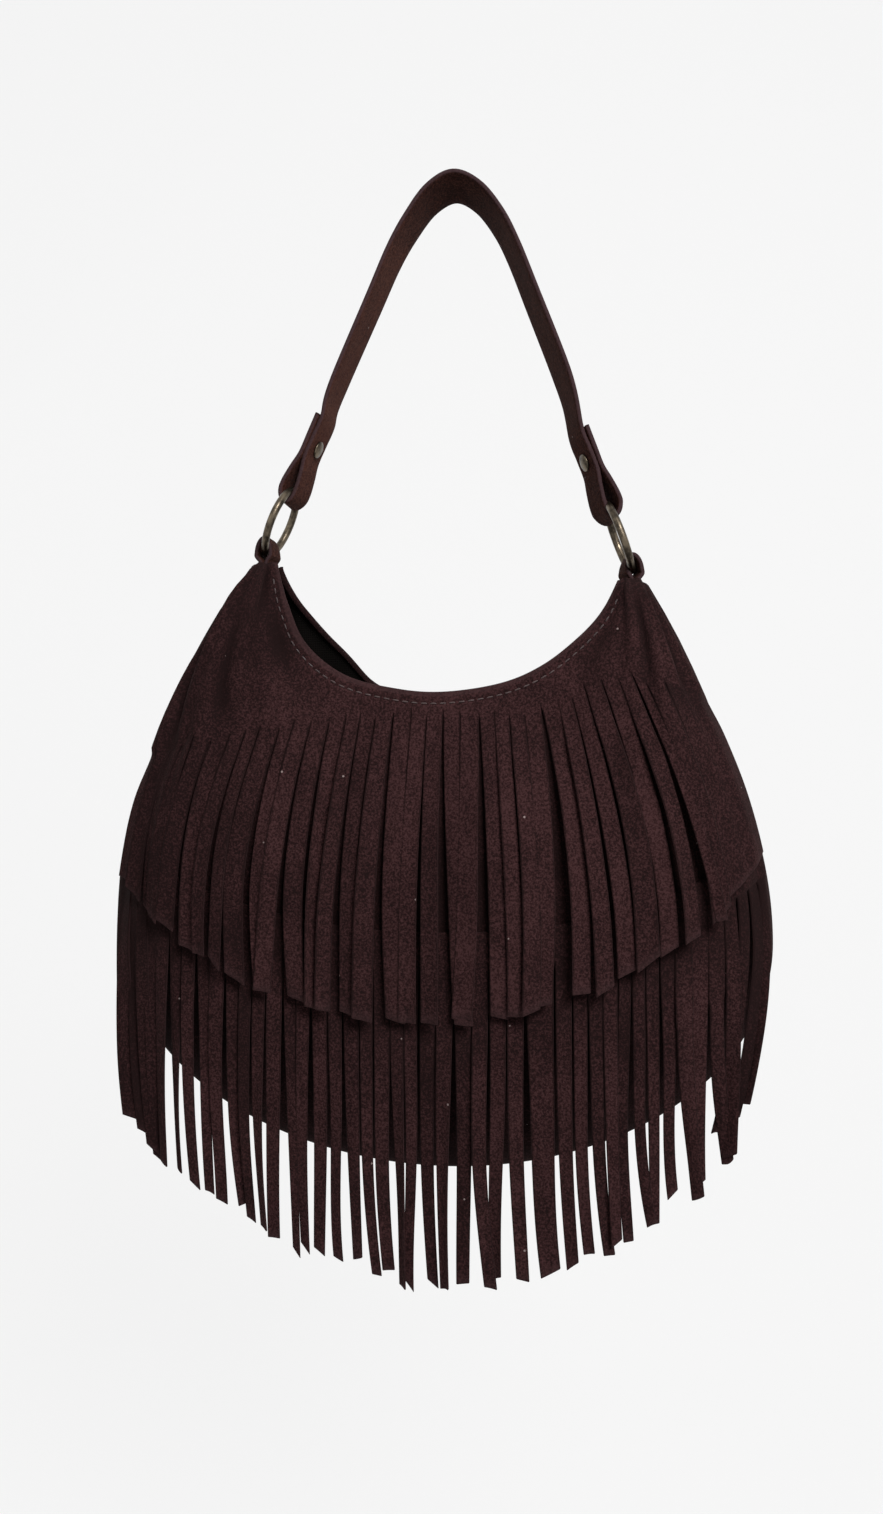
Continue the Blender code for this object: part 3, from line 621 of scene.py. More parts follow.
def make_panel(name, face, columns, rows, material, turned):
    """A body panel with folds, its edge turned in at the mouth if nothing else covers it."""
    u = np.linspace(-1, 1, columns + 1)
    reach = np.sin(math.pi / 2 * np.linspace(0, 1, rows + 1))
    inside = -(PANEL_THICK + 2 * GAP + LINING_THICK) - PANEL_THICK / 2
    grids = []
    for height in (PANEL_THICK / 2, -PANEL_THICK / 2):
        down = [raised(u, v, face, height - PANEL_THICK / 2) for v in reach]
        if turned:
            down = turned_edge(u, face, -PANEL_THICK / 2, inside, height) + down
        grids.append(np.array(down))
    shell = Shell()
    raw = np.zeros(grids[0].shape[:2])
    raw[-2:] = 0.7
    # Painted shade over the front panel, which the fringe covers.
    tone = np.full(raw.shape, PAINTED_FRONT_SHADE if face < 0 else 0.0)
    # Painted shade on the turned edge and the inner face, inside the bag.
    if turned:
        tone[:FACING_STEPS + ROLL_STEPS] = PAINTED_INSIDE_SHADE
    outer, inner = shell.add(grids[0], raw=raw, tone=tone), shell.add(grids[1], tone=PAINTED_INSIDE_SHADE)
    if face < 0:
        close_band(shell, outer, inner)
        shell.skin(np.stack([outer[-1], inner[-1]]))
    else:
        close_band(shell, outer[:, ::-1], inner[:, ::-1])
        shell.skin(np.stack([outer[-1, ::-1], inner[-1, ::-1]]))
    return shell.build(name, material)


def make_lining(name, face, material):
    short = 0.13
    u = np.linspace(-1 + short, 1 - short, 121)
    near = PANEL_THICK + GAP
    grids = []
    for height in (-near, -near - LINING_THICK):
        grids.append(np.array([raised(u, v, face, height) for v in np.linspace(0, 0.965, 61)]))
    shell = Shell()
    outer, inner = shell.add(grids[0]), shell.add(grids[1])
    if face > 0:
        outer, inner = outer[:, ::-1], inner[:, ::-1]
    close_band(shell, outer, inner)
    shell.skin(np.stack([outer[-1], inner[-1]]))
    return shell.build(name, material)


# Fringe

UPPER_CUTS = 33
UPPER_FIRST = -0.955
UPPER_LAST = 0.845
FLAP_END = 0.985
LOWER_CUTS = 46
LOWER_FIRST = -0.985
LOWER_LAST = 0.975
WIDE_STRAND_AT = 0.30
STRAND_COLUMNS = np.array((-1.0, -0.88, -0.45, 0.0, 0.45, 0.88, 1.0))
FLAP_COLUMNS = np.array((-1.0, -0.97, -0.85, -0.65, -0.45, -0.25, 0.0,
                         0.25, 0.45, 0.65, 0.85, 0.97, 1.0))
CUT_RAW = 0.4
# Painted shade along the strands' cut edges, between neighbouring strands.
PAINTED_CUT_EDGE_SHADE = -1.0


def upper_slit(share):
    ragged = 0.0016 * np.sin(37 * share) + 0.0012 * np.sin(61 * share + 1)
    right = 0.030 * smooth((share - 0.25) / 0.5)
    return -0.2755 - 0.024 * share ** 2 + right + ragged


def upper_tip(share):
    return -0.4315 + np.where(share < 0, 0.078 * np.abs(share) ** 2.25, 0.0845 * share ** 2)


def lower_slit(share):
    return -0.404 + 0.048 * np.abs(share) ** 2.2


def lower_tip(share):
    right = 0.0966 * share ** 2 + 0.012 * smooth((share - 0.80) / 0.1)
    left = 0.081 * np.abs(share) ** 1.55 + 0.010 * smooth((-share - 0.84) / 0.1)
    return -0.5650 + np.where(share < 0, left, right)


def cuts_between(slit_z, first, last, count, uneven):
    """Shares of the width at which the slits are cut, about equally far apart on the leather."""
    share = np.linspace(first, last, 481)
    z = slit_z(share)
    u, v = locate(spread_x(share, z), z)
    p = body(u, np.minimum(v, EDGE_V), -1)
    run = np.concatenate([[0], np.cumsum(np.linalg.norm(np.diff(p, axis=0), axis=1))])
    widths = 1 + uneven * rng.uniform(-1, 1, count)
    marks = np.concatenate([[0], np.cumsum(widths)]) / widths.sum() * run[-1]
    return np.interp(marks, run, share)


def parting(share, t, partings, reach=0.10):
    """Sideways shift that opens some slits more than others."""
    shift = 0.0 * t
    for place, opening, power in partings:
        away = share - place
        shift = shift + np.sign(away) * opening / 2 * math.exp(-abs(away) / reach) * t ** power
    return shift


def turn_about(a, b, angle):
    return a * np.cos(angle) - b * np.sin(angle), a * np.sin(angle) + b * np.cos(angle)


def hang_strand(own, columns, habit, slit_z, tip_z, t):
    """A strand's rows outside and inside, how its right edge bulges, and how free each row is."""
    half_way = len(columns) // 2
    start = slit_z(own)[None, :]
    end = (tip_z(own) + habit["longer"] + habit["slant"] * columns)[None, :]
    z = start + (end - start) * t
    points, normal = drape(np.broadcast_to(own, z.shape), z)
    half = np.linalg.norm(points[:, -1] - points[:, 0], axis=-1)[:, None] / 2
    cut = np.clip((t - habit["closed"]) / (1 - habit["closed"]), 0.0, 1.0)
    twist = habit["twist"] * smooth(cut * habit["onset"]) ** 1.3 + habit["wobble"] * np.sin(
        5 * t + habit["phase"]) * cut
    lift = habit["lift"](t) + half * np.abs(np.sin(twist)) * habit["clear"]
    points = points + normal * lift[:, :, None]
    centre = points[:, half_way][:, None]
    across = unit(points[:, -1] - points[:, 0])[:, None]
    facing = normal[:, half_way][:, None]
    rest = points - centre
    a, b = (rest * across).sum(-1), (rest * facing).sum(-1)
    along = rest - across * a[..., None] - facing * b[..., None]
    a = a * (1 - mix(habit["trim"] * smooth(cut * 30), habit["taper"], cut))
    b = b + habit["cup"] * t * ((a / half) ** 2 - 0.33)
    a, b = turn_about(a, b, twist)
    shift = parting(own[half_way], t, habit["partings"]) + habit["sway"] * cut ** 1.5 \
        + habit["lean"] * t + habit["wave"] * np.sin(habit["turns"] * t + habit["phase"]) * cut \
        + habit["curl"] * np.maximum(t - 0.55, 0) ** 2
    forward = habit["forward"] * np.maximum(t - 0.4, 0) ** 2
    place = centre + along + across * (a + shift)[..., None] + facing * (b + forward)[..., None]
    place = place + np.array((habit["inward"], 0.0, 0.0)) * t[..., None] ** 3
    out_a, out_b = turn_about(0.0 * t, 0.0 * t + 1.0, twist)
    out = across * out_a[..., None] + facing * out_b[..., None]
    thick = STRAND_THICK * mix(1.0, habit["thin"], t)[..., None]
    side = across * np.cos(twist)[..., None] + facing * np.sin(twist)[..., None]
    return place + out * thick, place, side * STRAND_THICK * 0.28, cut


def strand_shades(columns, cut, t, own_tone, cover_shade, middle):
    """How raw and how dark the points round each row are. Painted shade darkens the cut edges, the tops
    of strands that lie under another layer, and both sides of the bag.
    """
    edge = np.where(np.abs(columns) > 0.99, 1.0, 0.0)
    edge = np.concatenate([edge, [1.0], edge[::-1], [1.0]])
    raw = np.concatenate([0.0 * columns, [CUT_RAW], 0.0 * columns, [CUT_RAW]]) * smooth(cut * 6)
    raw[-1] = np.maximum(raw[-1], 0.8)
    raw[-2] = np.maximum(raw[-2], 0.2)
    tone = own_tone * smooth(t * 3) + cover_shade * (1 - smooth(t * 2.2)) + painted_side_shade(middle)
    return raw, tone + PAINTED_CUT_EDGE_SHADE * edge


def close_tip(shell, last, edge):
    """Closes a strand's end over a line of raw points just below its last row."""
    count = len(edge)
    cap = shell.add(edge + np.array((0, 0, -0.0004)), raw=1.0)
    up, low = last[:count], last[count + 1:2 * count + 1][::-1]
    shell.skin(np.stack([up, cap]))
    shell.skin(np.stack([cap, low]))
    for a, b, c in ((last[-1], up[0], cap[0]), (low[0], last[-1], cap[0]),
                    (up[-1], last[count], cap[-1]), (last[count], low[-1], cap[-1])):
        shell.faces.append([int(a), int(c), int(b)])


def make_fringe(name, cuts, sets, slit_z, tip_z, band, habits, steps, material):
    """One layer of leather: a band whose lower part is cut into strands.

    sets holds each strand's columns from -1 to 1, and habits how each strand hangs.
    """
    shares = [cuts[0]]
    starts = []
    for k, columns in enumerate(sets):
        starts.append(len(shares) - 1)
        shares += list(mix(cuts[k], cuts[k + 1], (columns[1:] + 1) / 2))
    shares = np.array(shares)
    # The band's tone is painted shade.
    outer_band, inner_band, before, after, painted_band_shade, band_raw = band(shares)
    shell = Shell()
    outer = shell.add(outer_band, raw=band_raw, tone=painted_band_shade)
    inner = shell.add(inner_band, tone=painted_band_shade)
    close_band(shell, outer, inner)
    foot_out, foot_in = outer[-1], inner[-1]
    middles = shell.add((outer_band[-1] + inner_band[-1]) / 2, raw=1.0)
    for first, last in ((0, before), (len(foot_out) - 1 - after, len(foot_out) - 1)):
        if last > first:
            shell.skin(np.stack([foot_out[first:last + 1], middles[first:last + 1]]))
            shell.skin(np.stack([middles[first:last + 1], foot_in[first:last + 1]]))
    t = np.linspace(0, 1, steps + 1)[:, None]
    for k, columns in enumerate(sets):
        habit = {key: values[k] for key, values in habits.items() if key != "cover_shade"}
        count = len(columns)
        at = before + starts[k]
        own = shares[starts[k]:starts[k] + count]
        top, under, bulge, cut = hang_strand(own, columns, habit, slit_z, tip_z, t)
        left = (top[:, :1] + under[:, :1]) / 2 - bulge
        right = (top[:, -1:] + under[:, -1:]) / 2 + bulge
        ring = np.concatenate([top, right, under[:, ::-1], left], axis=1)[1:]
        raw, tone = strand_shades(columns, cut[1:], t[1:], habit["tone"], habits["cover_shade"],
                                  own[count // 2])
        grid = shell.add(ring, raw=raw, tone=tone)
        head = np.concatenate([foot_out[at:at + count], [middles[at + count - 1]],
                               foot_in[at:at + count][::-1], [middles[at]]])
        shell.skin(np.vstack([head, grid]), closed=True)
        close_tip(shell, grid[-1], (top[-1] + under[-1]) / 2)
    return shell.build(name, material)


def upper_band(shares):
    """The yoke from inside the mouth to the slits, with a shoulder at each side."""
    z = upper_slit(shares)
    u, v = locate(spread_x(shares, z), z)
    v = np.minimum(v, EDGE_V)
    left = np.linspace(-0.988, u[0], 13)[:-1]
    right = np.linspace(u[-1], 0.988, 5)[1:]
    u = np.concatenate([left, u, right])
    v = np.concatenate([np.full(12, v[0]), v, np.full(4, v[-1])])
    inside = -(PANEL_THICK + 3 * GAP + LINING_THICK) - STRAND_THICK / 2
    middle = OVERLAY_GAP + STRAND_THICK / 2
    grids = []
    for height in (STRAND_THICK / 2, -STRAND_THICK / 2):
        rows = turned_edge(u, -1, middle, inside, height)
        rows += face_rows(u, v, FACE_ROWS, -1, middle + height)
        grids.append(np.array(rows))
    turned = len(grids[0]) - FACE_ROWS - 1
    down = np.linspace(0, 1, FACE_ROWS + 1)[:, None] ** 1.35 * v
    # Painted shade in the fold valleys and towards both sides.
    shaded_valleys = np.minimum(relief(u, down, -1) / VALLEY_DEPTH, 0.0)
    tone = np.vstack([np.zeros((turned, len(u))), PAINTED_VALLEY_SHADE * shaded_valleys]) + painted_side_shade(u)
    raw = np.zeros(tone.shape)
    raw[turned - 4:turned + 2] = RIM_RAW
    return grids[0], grids[1], 12, 4, tone, raw


def lower_band(shares):
    """The narrow band of the lower fringe, which the upper strands hide, painted with the shade they
    cast.
    """
    z = lower_slit(shares)
    rows = z + 0.016 * np.linspace(1, 0, 15)[:, None]
    points, normal = drape(np.broadcast_to(shares, rows.shape), rows)
    height = OVERLAY_GAP
    return points + normal * (height + STRAND_THICK), points + normal * height, 0, 0, PAINTED_COVER_SHADE, 0.0


def ranks(count, levels):
    """A seeded order of layers in which no two neighbours are alike."""
    order = [0]
    for _ in range(count - 1):
        order.append((order[-1] + int(rng.integers(1, levels))) % levels)
    return order


def upper_habits(cuts, sets):
    n = len(sets)
    middles = (cuts[:-1] + cuts[1:]) / 2
    order = ranks(n, 3)
    wide = np.array([len(s) > 8 for s in sets])

    def lifts(k):
        def lift(t):
            raise_by = 0.0046 * smooth(t * 1.5) + 0.0016 * order[k] * smooth(t * 5.0)
            return OVERLAY_GAP + raise_by * room[k]
        return lift

    partings = ((-0.75, 0.0020, 1.0), (-0.53, 0.0038, 0.9), (-0.40, 0.0048, 0.8), (-0.17, 0.0036, 0.7),
                (0.116, 0.0045, 0.7), (0.385, 0.0095, 0.6), (0.50, 0.0040, 0.9), (0.61, 0.0035, 1.0),
                (0.73, 0.0030, 1.0))
    calm = np.where(wide, 0.0, 1.0)
    room = 1 - 0.80 * smooth((np.abs(middles) - 0.62) / 0.30)
    return {
        "lift": [lifts(k) for k in range(n)],
        "longer": np.where(wide, 0.004, rng.normal(0, 0.0012, n)),
        "slant": np.where(wide, 0.0, rng.normal(0.0, 0.0010, n) - 0.0004),
        "closed": np.zeros(n),
        "lean": 0.006 * smooth((-0.80 - middles) / 0.15) - 0.004 * smooth((middles - 0.86) / 0.04),
        "twist": rng.normal(0.0, 0.28, n) * calm,
        "onset": np.full(n, 2.4),
        "wobble": rng.normal(0.0, 0.12, n) * calm,
        "clear": room,
        "trim": np.where(wide, 0.01, rng.uniform(0.09, 0.17, n)),
        "taper": rng.uniform(0.10, 0.20, n) * calm + 0.01,
        "cup": rng.normal(0.0004, 0.0009, n) * calm,
        "sway": rng.normal(0.0006, 0.0021, n) * calm,
        "wave": rng.normal(0.0, 0.0006, n) * calm,
        "turns": rng.uniform(3, 6, n),
        "phase": rng.uniform(0, 6.28, n),
        "curl": rng.normal(0.002, 0.004, n) * calm,
        "forward": rng.uniform(0.0, 0.006, n) * room,
        "tone": rng.normal(0.0, 0.34, n),
        "thin": np.full(n, 0.85),
        "partings": [partings] * n,
        "inward": np.zeros(n),
        "cover_shade": 0.0,
    }


def lower_habits(cuts, sets):
    n = len(sets)
    middles = (cuts[:-1] + cuts[1:]) / 2
    order = ranks(n, 3)
    far_right = smooth((middles - 0.78) / 0.14)
    far_left = smooth((-0.80 - middles) / 0.12)
    patch = np.exp(-((middles - 0.765) / 0.075) ** 4)
    side = smooth((np.abs(middles) - 0.76) / 0.12)

    def lifts(k):
        def lift(t):
            return OVERLAY_GAP + 0.0015 * order[k] * smooth(t * 2.5)
        return lift

    return {
        "lift": [lifts(k) for k in range(n)],
        "longer": rng.normal(0, 0.0012, n),
        "slant": rng.normal(0.0, 0.0014, n),
        "closed": 0.34 * (patch > 0.5),
        "lean": 0.010 * far_left - 0.003 * far_right,
        "twist": rng.normal(0.12, 0.32, n) * (1 - far_left) - 0.75 * far_left + far_right * 0.9,
        "onset": np.full(n, 1.15),
        "wobble": rng.normal(0.0, 0.12, n),
        "clear": np.full(n, 0.7),
        "trim": mix(0.11, np.where(middles < 0, -0.20, 0.22), side),
        "taper": mix(rng.uniform(0.30, 0.46, n), np.where(middles < 0, 0.10, 0.50), side),
        "cup": rng.normal(0.0003, 0.0007, n),
        "sway": rng.normal(0.0010, 0.0016, n) * (1 - side) - 0.014 * far_right,
        "wave": rng.normal(0.0, 0.0010, n),
        "turns": rng.uniform(3, 7, n),
        "phase": rng.uniform(0, 6.28, n),
        "curl": rng.normal(0.012, 0.009, n) * (1 - side),
        "forward": rng.normal(0.0, 0.008, n),
        "tone": rng.normal(0.0, 0.34, n),
        "thin": np.full(n, 0.8),
        "partings": [()] * n,
        "inward": 0.009 * far_left - 0.005 * far_right,
        "cover_shade": PAINTED_COVER_SHADE,
    }


def make_stitches(name, face, surface, first, last, material):
    """A line of short thread stitches just below the mouth's edge."""
    fine = np.linspace(first, last, 1601)
    depth = 0.0 * fine + STITCH_DEPTH
    length = np.linalg.norm(body(fine, 0.03, face) - body(fine, 0.0, face), axis=-1)
    p = raised(fine, 0.03 * depth / length, face, surface)
    run = np.concatenate([[0], np.cumsum(np.linalg.norm(np.diff(p, axis=0), axis=1))])
    pitch, stitch, radius = 0.0049, 0.0032, 0.00034
    shell = Shell()
    for start in np.arange(0.001, run[-1] - stitch, pitch):
        marks = start + stitch * np.array((0.0, 0.08, 0.3, 0.5, 0.7, 0.92, 1.0))
        sink = np.array((-1.1, -0.4, 0.15, 0.25, 0.15, -0.4, -1.1)) * radius
        swell = np.array((0.3, 0.8, 1.0, 1.0, 1.0, 0.8, 0.3)) * radius
        line = np.stack([np.interp(marks, run, p[:, k]) for k in range(3)], -1)
        u = np.interp(marks, run, fine)
        normal = body_normal(u, 0.0 * u + 0.01, face)
        along = unit(np.gradient(line, axis=0))
        aside = np.cross(along, normal)
        turn = np.linspace(0, 2 * math.pi, 9)[:-1]
        rings = (line + normal * sink[:, None])[:, None] \
            + aside[:, None] * (np.cos(turn) * swell[:, None])[..., None] \
            + normal[:, None] * (np.sin(turn) * swell[:, None])[..., None]
        # The stitches are paler along the middle of the mouth and darker towards both ends.
        paler_middle = smooth((line[3, 0] + 0.075) / 0.02) * smooth((0.070 - line[3, 0]) / 0.02)
        grid = shell.add(rings, tone=mix(0.15, 1.0, paler_middle))
        shell.skin(grid, closed=True)
        shell.faces.append(grid[0][::-1].tolist())
        shell.faces.append(grid[-1].tolist())
    return shell.build(name, material)


front_panel = put(make_panel("front_panel_suede", -1, 260, 110, BODY_SUEDE, False),
                  "bag", "body_suede", "front_panel")
back_panel = put(make_panel("back_panel_suede", 1, 260, 110, BODY_SUEDE, True),
                 "bag", "body_suede", "back_panel")
front_lining = put(make_lining("front_lining_cloth", -1, LINING), "bag", "lining_cloth", "front_lining")
back_lining = put(make_lining("back_lining_cloth", 1, LINING), "bag", "lining_cloth", "back_lining")

upper_cuts = np.append(cuts_between(upper_slit, UPPER_FIRST, UPPER_LAST, UPPER_CUTS, 0.13), FLAP_END)
upper_sets = [STRAND_COLUMNS] * UPPER_CUTS + [FLAP_COLUMNS]
upper_fringe = put(make_fringe("upper_fringe_suede", upper_cuts, upper_sets, upper_slit, upper_tip,
                               upper_band, upper_habits(upper_cuts, upper_sets), 40, FRINGE_SUEDE),
                   "bag", "fringe_suede", "upper_fringe")

lower_cuts = cuts_between(lower_slit, LOWER_FIRST, LOWER_LAST, LOWER_CUTS, 0.15)
lower_cuts = np.delete(lower_cuts, np.abs(lower_cuts - WIDE_STRAND_AT).argmin())
lower_sets = [STRAND_COLUMNS] * (len(lower_cuts) - 1)
lower_fringe = put(make_fringe("lower_fringe_suede", lower_cuts, lower_sets, lower_slit, lower_tip,
                               lower_band, lower_habits(lower_cuts, lower_sets), 52, FRINGE_SUEDE),
                   "bag", "fringe_suede", "lower_fringe")

for label, face, surface in (("front", -1, OVERLAY_GAP + STRAND_THICK), ("back", 1, 0.0)):
    stitches = make_stitches(label + "_mouth_stitches", face, surface, -0.93, 0.93, THREAD)
    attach(stitches, "bag")


# Strap, tabs, rings and rivets

def seat_depth(width):
    inside = RING_RADIUS - RING_WIRE_RADIUS
    return RING_RADIUS - (math.sqrt(inside ** 2 - (width / 2) ** 2) - RING_SEAT_GAP)


def strap_loop(side):
    centre, up = ring_frame(side)
    inward = np.array((-side * up[2], 0, side * up[0]))
    wire = centre + up * RING_RADIUS
    radius = LOOP_INNER_RADIUS + STRAP_THICK / 2
    half = STRAP_LOOP_HALF + STRAP_THICK / 2
    layer = (STRAP_THICK + LAYER_GAP) / 2
    middle = wire - up * (seat_depth(STRAP_END_WIDTH) - LOOP_INNER_RADIUS)

    def side_points(sign):
        return [wire + inward * sign * layer + up * FLAP_LENGTH,
                wire + inward * sign * layer + up * mix(CLOSED_FROM, FLAP_LENGTH, 0.5),
                wire + inward * sign * layer + up * CLOSED_FROM,
                wire + inward * sign * mix(layer, half, 0.55) + up * LOOP_SIDE_HEIGHT * 0.9,
                wire + inward * sign * half * 0.97 + up * LOOP_SIDE_HEIGHT * 0.3]

    turn = [middle - inward * half * math.cos(a) - up * radius * math.sin(a)
            for a in np.linspace(0, math.pi, 11)]
    return side_points(-1) + turn + side_points(1)[::-1]


def strap_lean(x, z):
    """How far the strap's underside turns to the front, more at its folded ends."""
    free = smooth((z + 0.145) / 0.035)
    right = smooth((x + 0.08) / 0.16)
    return mix(mix(*END_LEAN, right), mix(*RUN_LEAN, right), free)


def make_strap():
    """The whole strap. Its flaps lean the other way round, as they lie against the strap's back."""
    run = [np.array((x, 0, z)) for x, z in STRAP_RUN]
    steps = 9
    line = through(strap_loop(-1) + run + strap_loop(1)[::-1], steps)
    sides = [-1.0] * 5 + list(np.linspace(-1, 1, 11)) + [1.0] * 5
    sides = sides + [1.0] * len(run) + sides[::-1]
    facing = np.interp(np.arange(len(line)) / steps, np.arange(len(sides)), sides)
    free = smooth((line[:, 2] + 0.142) / 0.045)
    widths = mix(STRAP_END_WIDTH, STRAP_WIDTH, free) / 2
    leans = facing * strap_lean(line[:, 0], line[:, 2])
    # Painted light on the left limb, which faces the key lamp; the strap is also darker at the crown.
    lit_left_limb = smooth((-0.020 - line[:, 0]) / 0.020)
    crown = smooth((line[:, 2] + 0.040) / 0.030)
    return swept("strap_leather", line, widths, leans, STRAP_THICK, STRAP_SUEDE,
                 tone=0.9 * lit_left_limb - 0.5 * crown)


def make_tab(name, side):
    centre, up = ring_frame(side)
    wire = centre - up * RING_RADIUS
    radius = LOOP_INNER_RADIUS + TAB_THICK / 2
    half = TAB_LOOP_HALF + TAB_THICK / 2
    layer = (TAB_THICK + TAB_LAYER_GAP) / 2
    lift = seat_depth(TAB_WIDTH) - LOOP_INNER_RADIUS
    inset = (CORNER_OUTER - CORNER_INNER) / 2

    def leg(sign):
        foot = inset * 0.8 + sign * layer
        return [(foot, -TAB_DEPTH), (foot, -TAB_DEPTH * 0.6), (foot + sign * 0.0005, -TAB_DEPTH * 0.38),
                (inset * 0.4 + sign * 0.0013, -NECK_DROP), (sign * half * 0.965, -NECK_DROP * 0.4)]

    turn = [(half * math.cos(a), lift + (radius + TAB_SLACK) * math.sin(a))
            for a in np.linspace(0, math.pi, 11)]
    flat = leg(1) + turn + leg(-1)[::-1]
    line = through([(wire[0] - side * x, 0, wire[2] + z) for x, z in flat], 6)
    if side > 0:
        line = line[::-1]
    count = len(line)
    facing = [1.0] * 5 + list(np.linspace(1, -1, 11)) + [-1.0] * 5
    facing = np.interp(np.arange(count) / 6, np.arange(len(facing)), facing)
    leans = -side * TAB_LEAN[side] * facing
    return swept(name, line, np.full(count, TAB_WIDTH / 2), leans, TAB_THICK, STRAP_SUEDE)


def make_ring(name, side):
    centre, up = ring_frame(side)
    wide = np.array((0.0, 1.0, 0.0))
    normal = np.cross(wide, up)
    turn = np.linspace(0, 2 * math.pi, 97)[:-1, None]
    wire = np.linspace(0, 2 * math.pi, 25)[:-1][None, :]
    out = wide * np.cos(turn)[..., None] + up * np.sin(turn)[..., None]
    points = centre + out * (RING_RADIUS + RING_WIRE_RADIUS * np.cos(wire))[..., None] \
        + normal * (RING_WIRE_RADIUS * np.sin(wire) + 0 * turn)[..., None]
    shell = Shell()
    grid = shell.add(points)
    shell.skin(np.vstack([grid, grid[:1]]), closed=True)
    return shell.build(name, BRASS)


def make_cap(name, side, sign):
    """A rivet's head on one face of the strap end, sign 1 on the inner side."""
    centre, up = ring_frame(side)
    place = centre + up * (RING_RADIUS + RIVET_HEIGHT)
    lean = float(strap_lean(place[0], place[2]))
    wide = np.array((0.0, 1.0, 0.0))
    inward = np.array((-side * up[2], 0, side * up[0]))
    wide, inward = (wide * math.cos(lean) + inward * math.sin(lean),
                    (inward * math.cos(lean) - wide * math.sin(lean)) * sign)
    face = STRAP_THICK + LAYER_GAP / 2 + GAP
    r = RIVET_HEAD_RADIUS
    if sign > 0:
        profile = ((r, 0), (r, 0.0005), (r * 0.96, 0.00078), (r * 0.85, 0.00105), (r * 0.62, 0.00145),
                   (r * 0.35, 0.00172), (r * 0.12, 0.0018))
    else:
        profile = ((r, 0), (r, 0.0004), (r * 0.95, 0.0007), (r * 0.8, 0.0009), (r * 0.4, 0.0009),
                   (r * 0.15, 0.0009))
    profile = ((0.0016, -0.0005), (0.0016, 0.0)) + profile
    other = np.cross(inward, wide)
    turn = np.linspace(0, 2 * math.pi, 41)[:-1]
    rings = [place + inward * (face + h) + (wide * np.cos(turn)[:, None]
                                            + other * np.sin(turn)[:, None]) * q for q, h in profile]
    shell = Shell()
    grid = shell.add(np.array(rings))
    shell.skin(grid[::-1], closed=True)
    shell.faces.append(grid[0].tolist()[::-1])
    shell.faces.append(grid[-1].tolist())
    return shell.build(name, BRASS)


put(make_strap(), "strap", "strap_suede", "strap")
for label, side in (("left", -1), ("right", 1)):
    put(make_tab(label + "_tab_leather", side), "bag", "strap_suede", label + "_tab")
    put(make_ring(label + "_ring_wire", side), label + "_ring", "old_brass", label + "_ring")
    put(make_cap(label + "_rivet_dome", side, 1), "strap", "old_brass", label + "_rivet_cap")
    put(make_cap(label + "_rivet_head", side, -1), "strap", "old_brass", label + "_rivet_post")


# Floor, backdrop, light and camera

FLOOR_Z = -1.02
BACK_Y = 1.05
BEND = 0.35


def seen_rays(tree):
    """1 for camera, glossy and transmission rays, and 0 for all others."""
    path = tree.nodes.new("ShaderNodeLightPath")
    seen = path.outputs["Is Camera Ray"]
    for kind in ("Is Glossy Ray", "Is Transmission Ray"):
        either = tree.nodes.new("ShaderNodeMath")
        either.operation = "MAXIMUM"
        tree.links.new(seen, either.inputs[0])
        tree.links.new(path.outputs[kind], either.inputs[1])
        seen = either.outputs[0]
    return seen


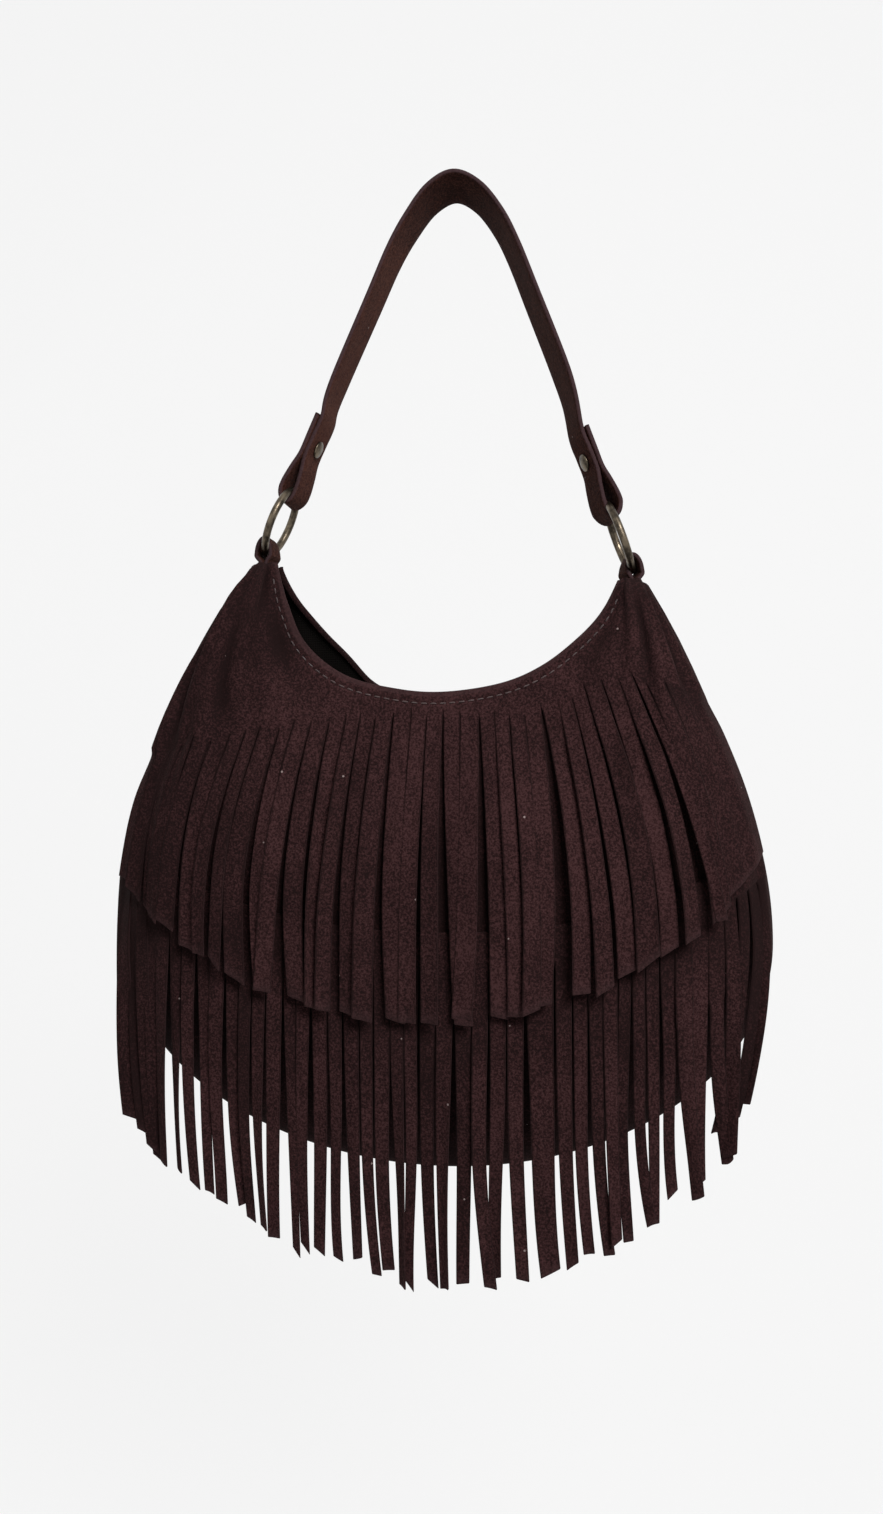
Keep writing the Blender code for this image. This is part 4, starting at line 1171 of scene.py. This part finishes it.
def make_backdrop():
    paint = Paint("pale_backdrop")
    paint.set(base=(0.86, 0.86, 0.86, 1), rough=0.9, specular=0.1)
    tree = paint.tree
    glow = paint.node("ShaderNodeEmission", {"Color": (1, 1, 1, 1), "Strength": 1.0})
    share = paint.maths("MULTIPLY", seen_rays(tree), 0.86)
    both = paint.node("ShaderNodeMixShader", {0: share})
    tree.links.new(paint.shader.outputs[0], both.inputs[1])
    tree.links.new(glow.outputs[0], both.inputs[2])
    tree.links.new(both.outputs[0], tree.nodes["Material Output"].inputs["Surface"])
    profile = [(-2.6, FLOOR_Z), (BACK_Y - BEND, FLOOR_Z)]
    for angle in np.linspace(-90, 0, 25)[1:]:
        profile.append((BACK_Y - BEND + BEND * math.cos(math.radians(angle)),
                        FLOOR_Z + BEND + BEND * math.sin(math.radians(angle))))
    profile.append((BACK_Y, 2.4))
    grid = np.array([[(x, y, z) for x in (-3.2, 3.2)] for y, z in profile], float)
    shell = Shell()
    shell.skin(shell.add(grid)[:, ::-1])
    backdrop = shell.build("backdrop", paint.material)


def make_world():
    world = bpy.data.worlds.new("studio")
    bpy.context.scene.world = world
    world.use_nodes = True
    tree = world.node_tree
    background = tree.nodes["Background"]
    background.inputs["Color"].default_value = (1, 1, 1, 1)
    level = tree.nodes.new("ShaderNodeMapRange")
    level.inputs["To Min"].default_value = 0.11
    level.inputs["To Max"].default_value = 1.0
    tree.links.new(seen_rays(tree), level.inputs["Value"])
    tree.links.new(level.outputs[0], background.inputs["Strength"])


def lamp(name, place, aim, size, power):
    data = bpy.data.lights.new(name, "AREA")
    data.shape = "RECTANGLE"
    data.size, data.size_y = size
    data.energy = power
    obj = bpy.data.objects.new(name, data)
    bpy.context.scene.collection.objects.link(obj)
    obj.location = place
    obj.rotation_euler = (Vector(aim) - Vector(place)).to_track_quat("-Z", "Y").to_euler()
    return obj


make_backdrop()
make_world()
middle = (0.0, 0.0, -0.32)
lamp("key", (0.50, -1.00, 0.38), middle, (0.5, 0.5), 18)
lamp("fill", (-1.0, -1.3, 0.25), middle, (0.9, 1.1), 1.3)
lamp("back_left", (-0.9, 0.75, 0.4), middle, (0.5, 0.9), 0.5)
lamp("back_right", (0.9, 0.75, 0.4), middle, (0.5, 0.9), 0.5)

camera_data = bpy.data.cameras.new("camera")
camera_data.sensor_width = 36
camera_data.lens = 27.8
camera_data.clip_start = 0.02
camera = bpy.data.objects.new("camera", camera_data)
bpy.context.scene.collection.objects.link(camera)
camera.location = (0.052, -0.615, -0.300)
sight = Vector((-0.007, 0, -0.300)) - camera.location
camera.rotation_euler = sight.to_track_quat("-Z", "Y").to_euler()
bpy.context.scene.camera = camera

bpy.context.scene.view_settings.view_transform = "Standard"
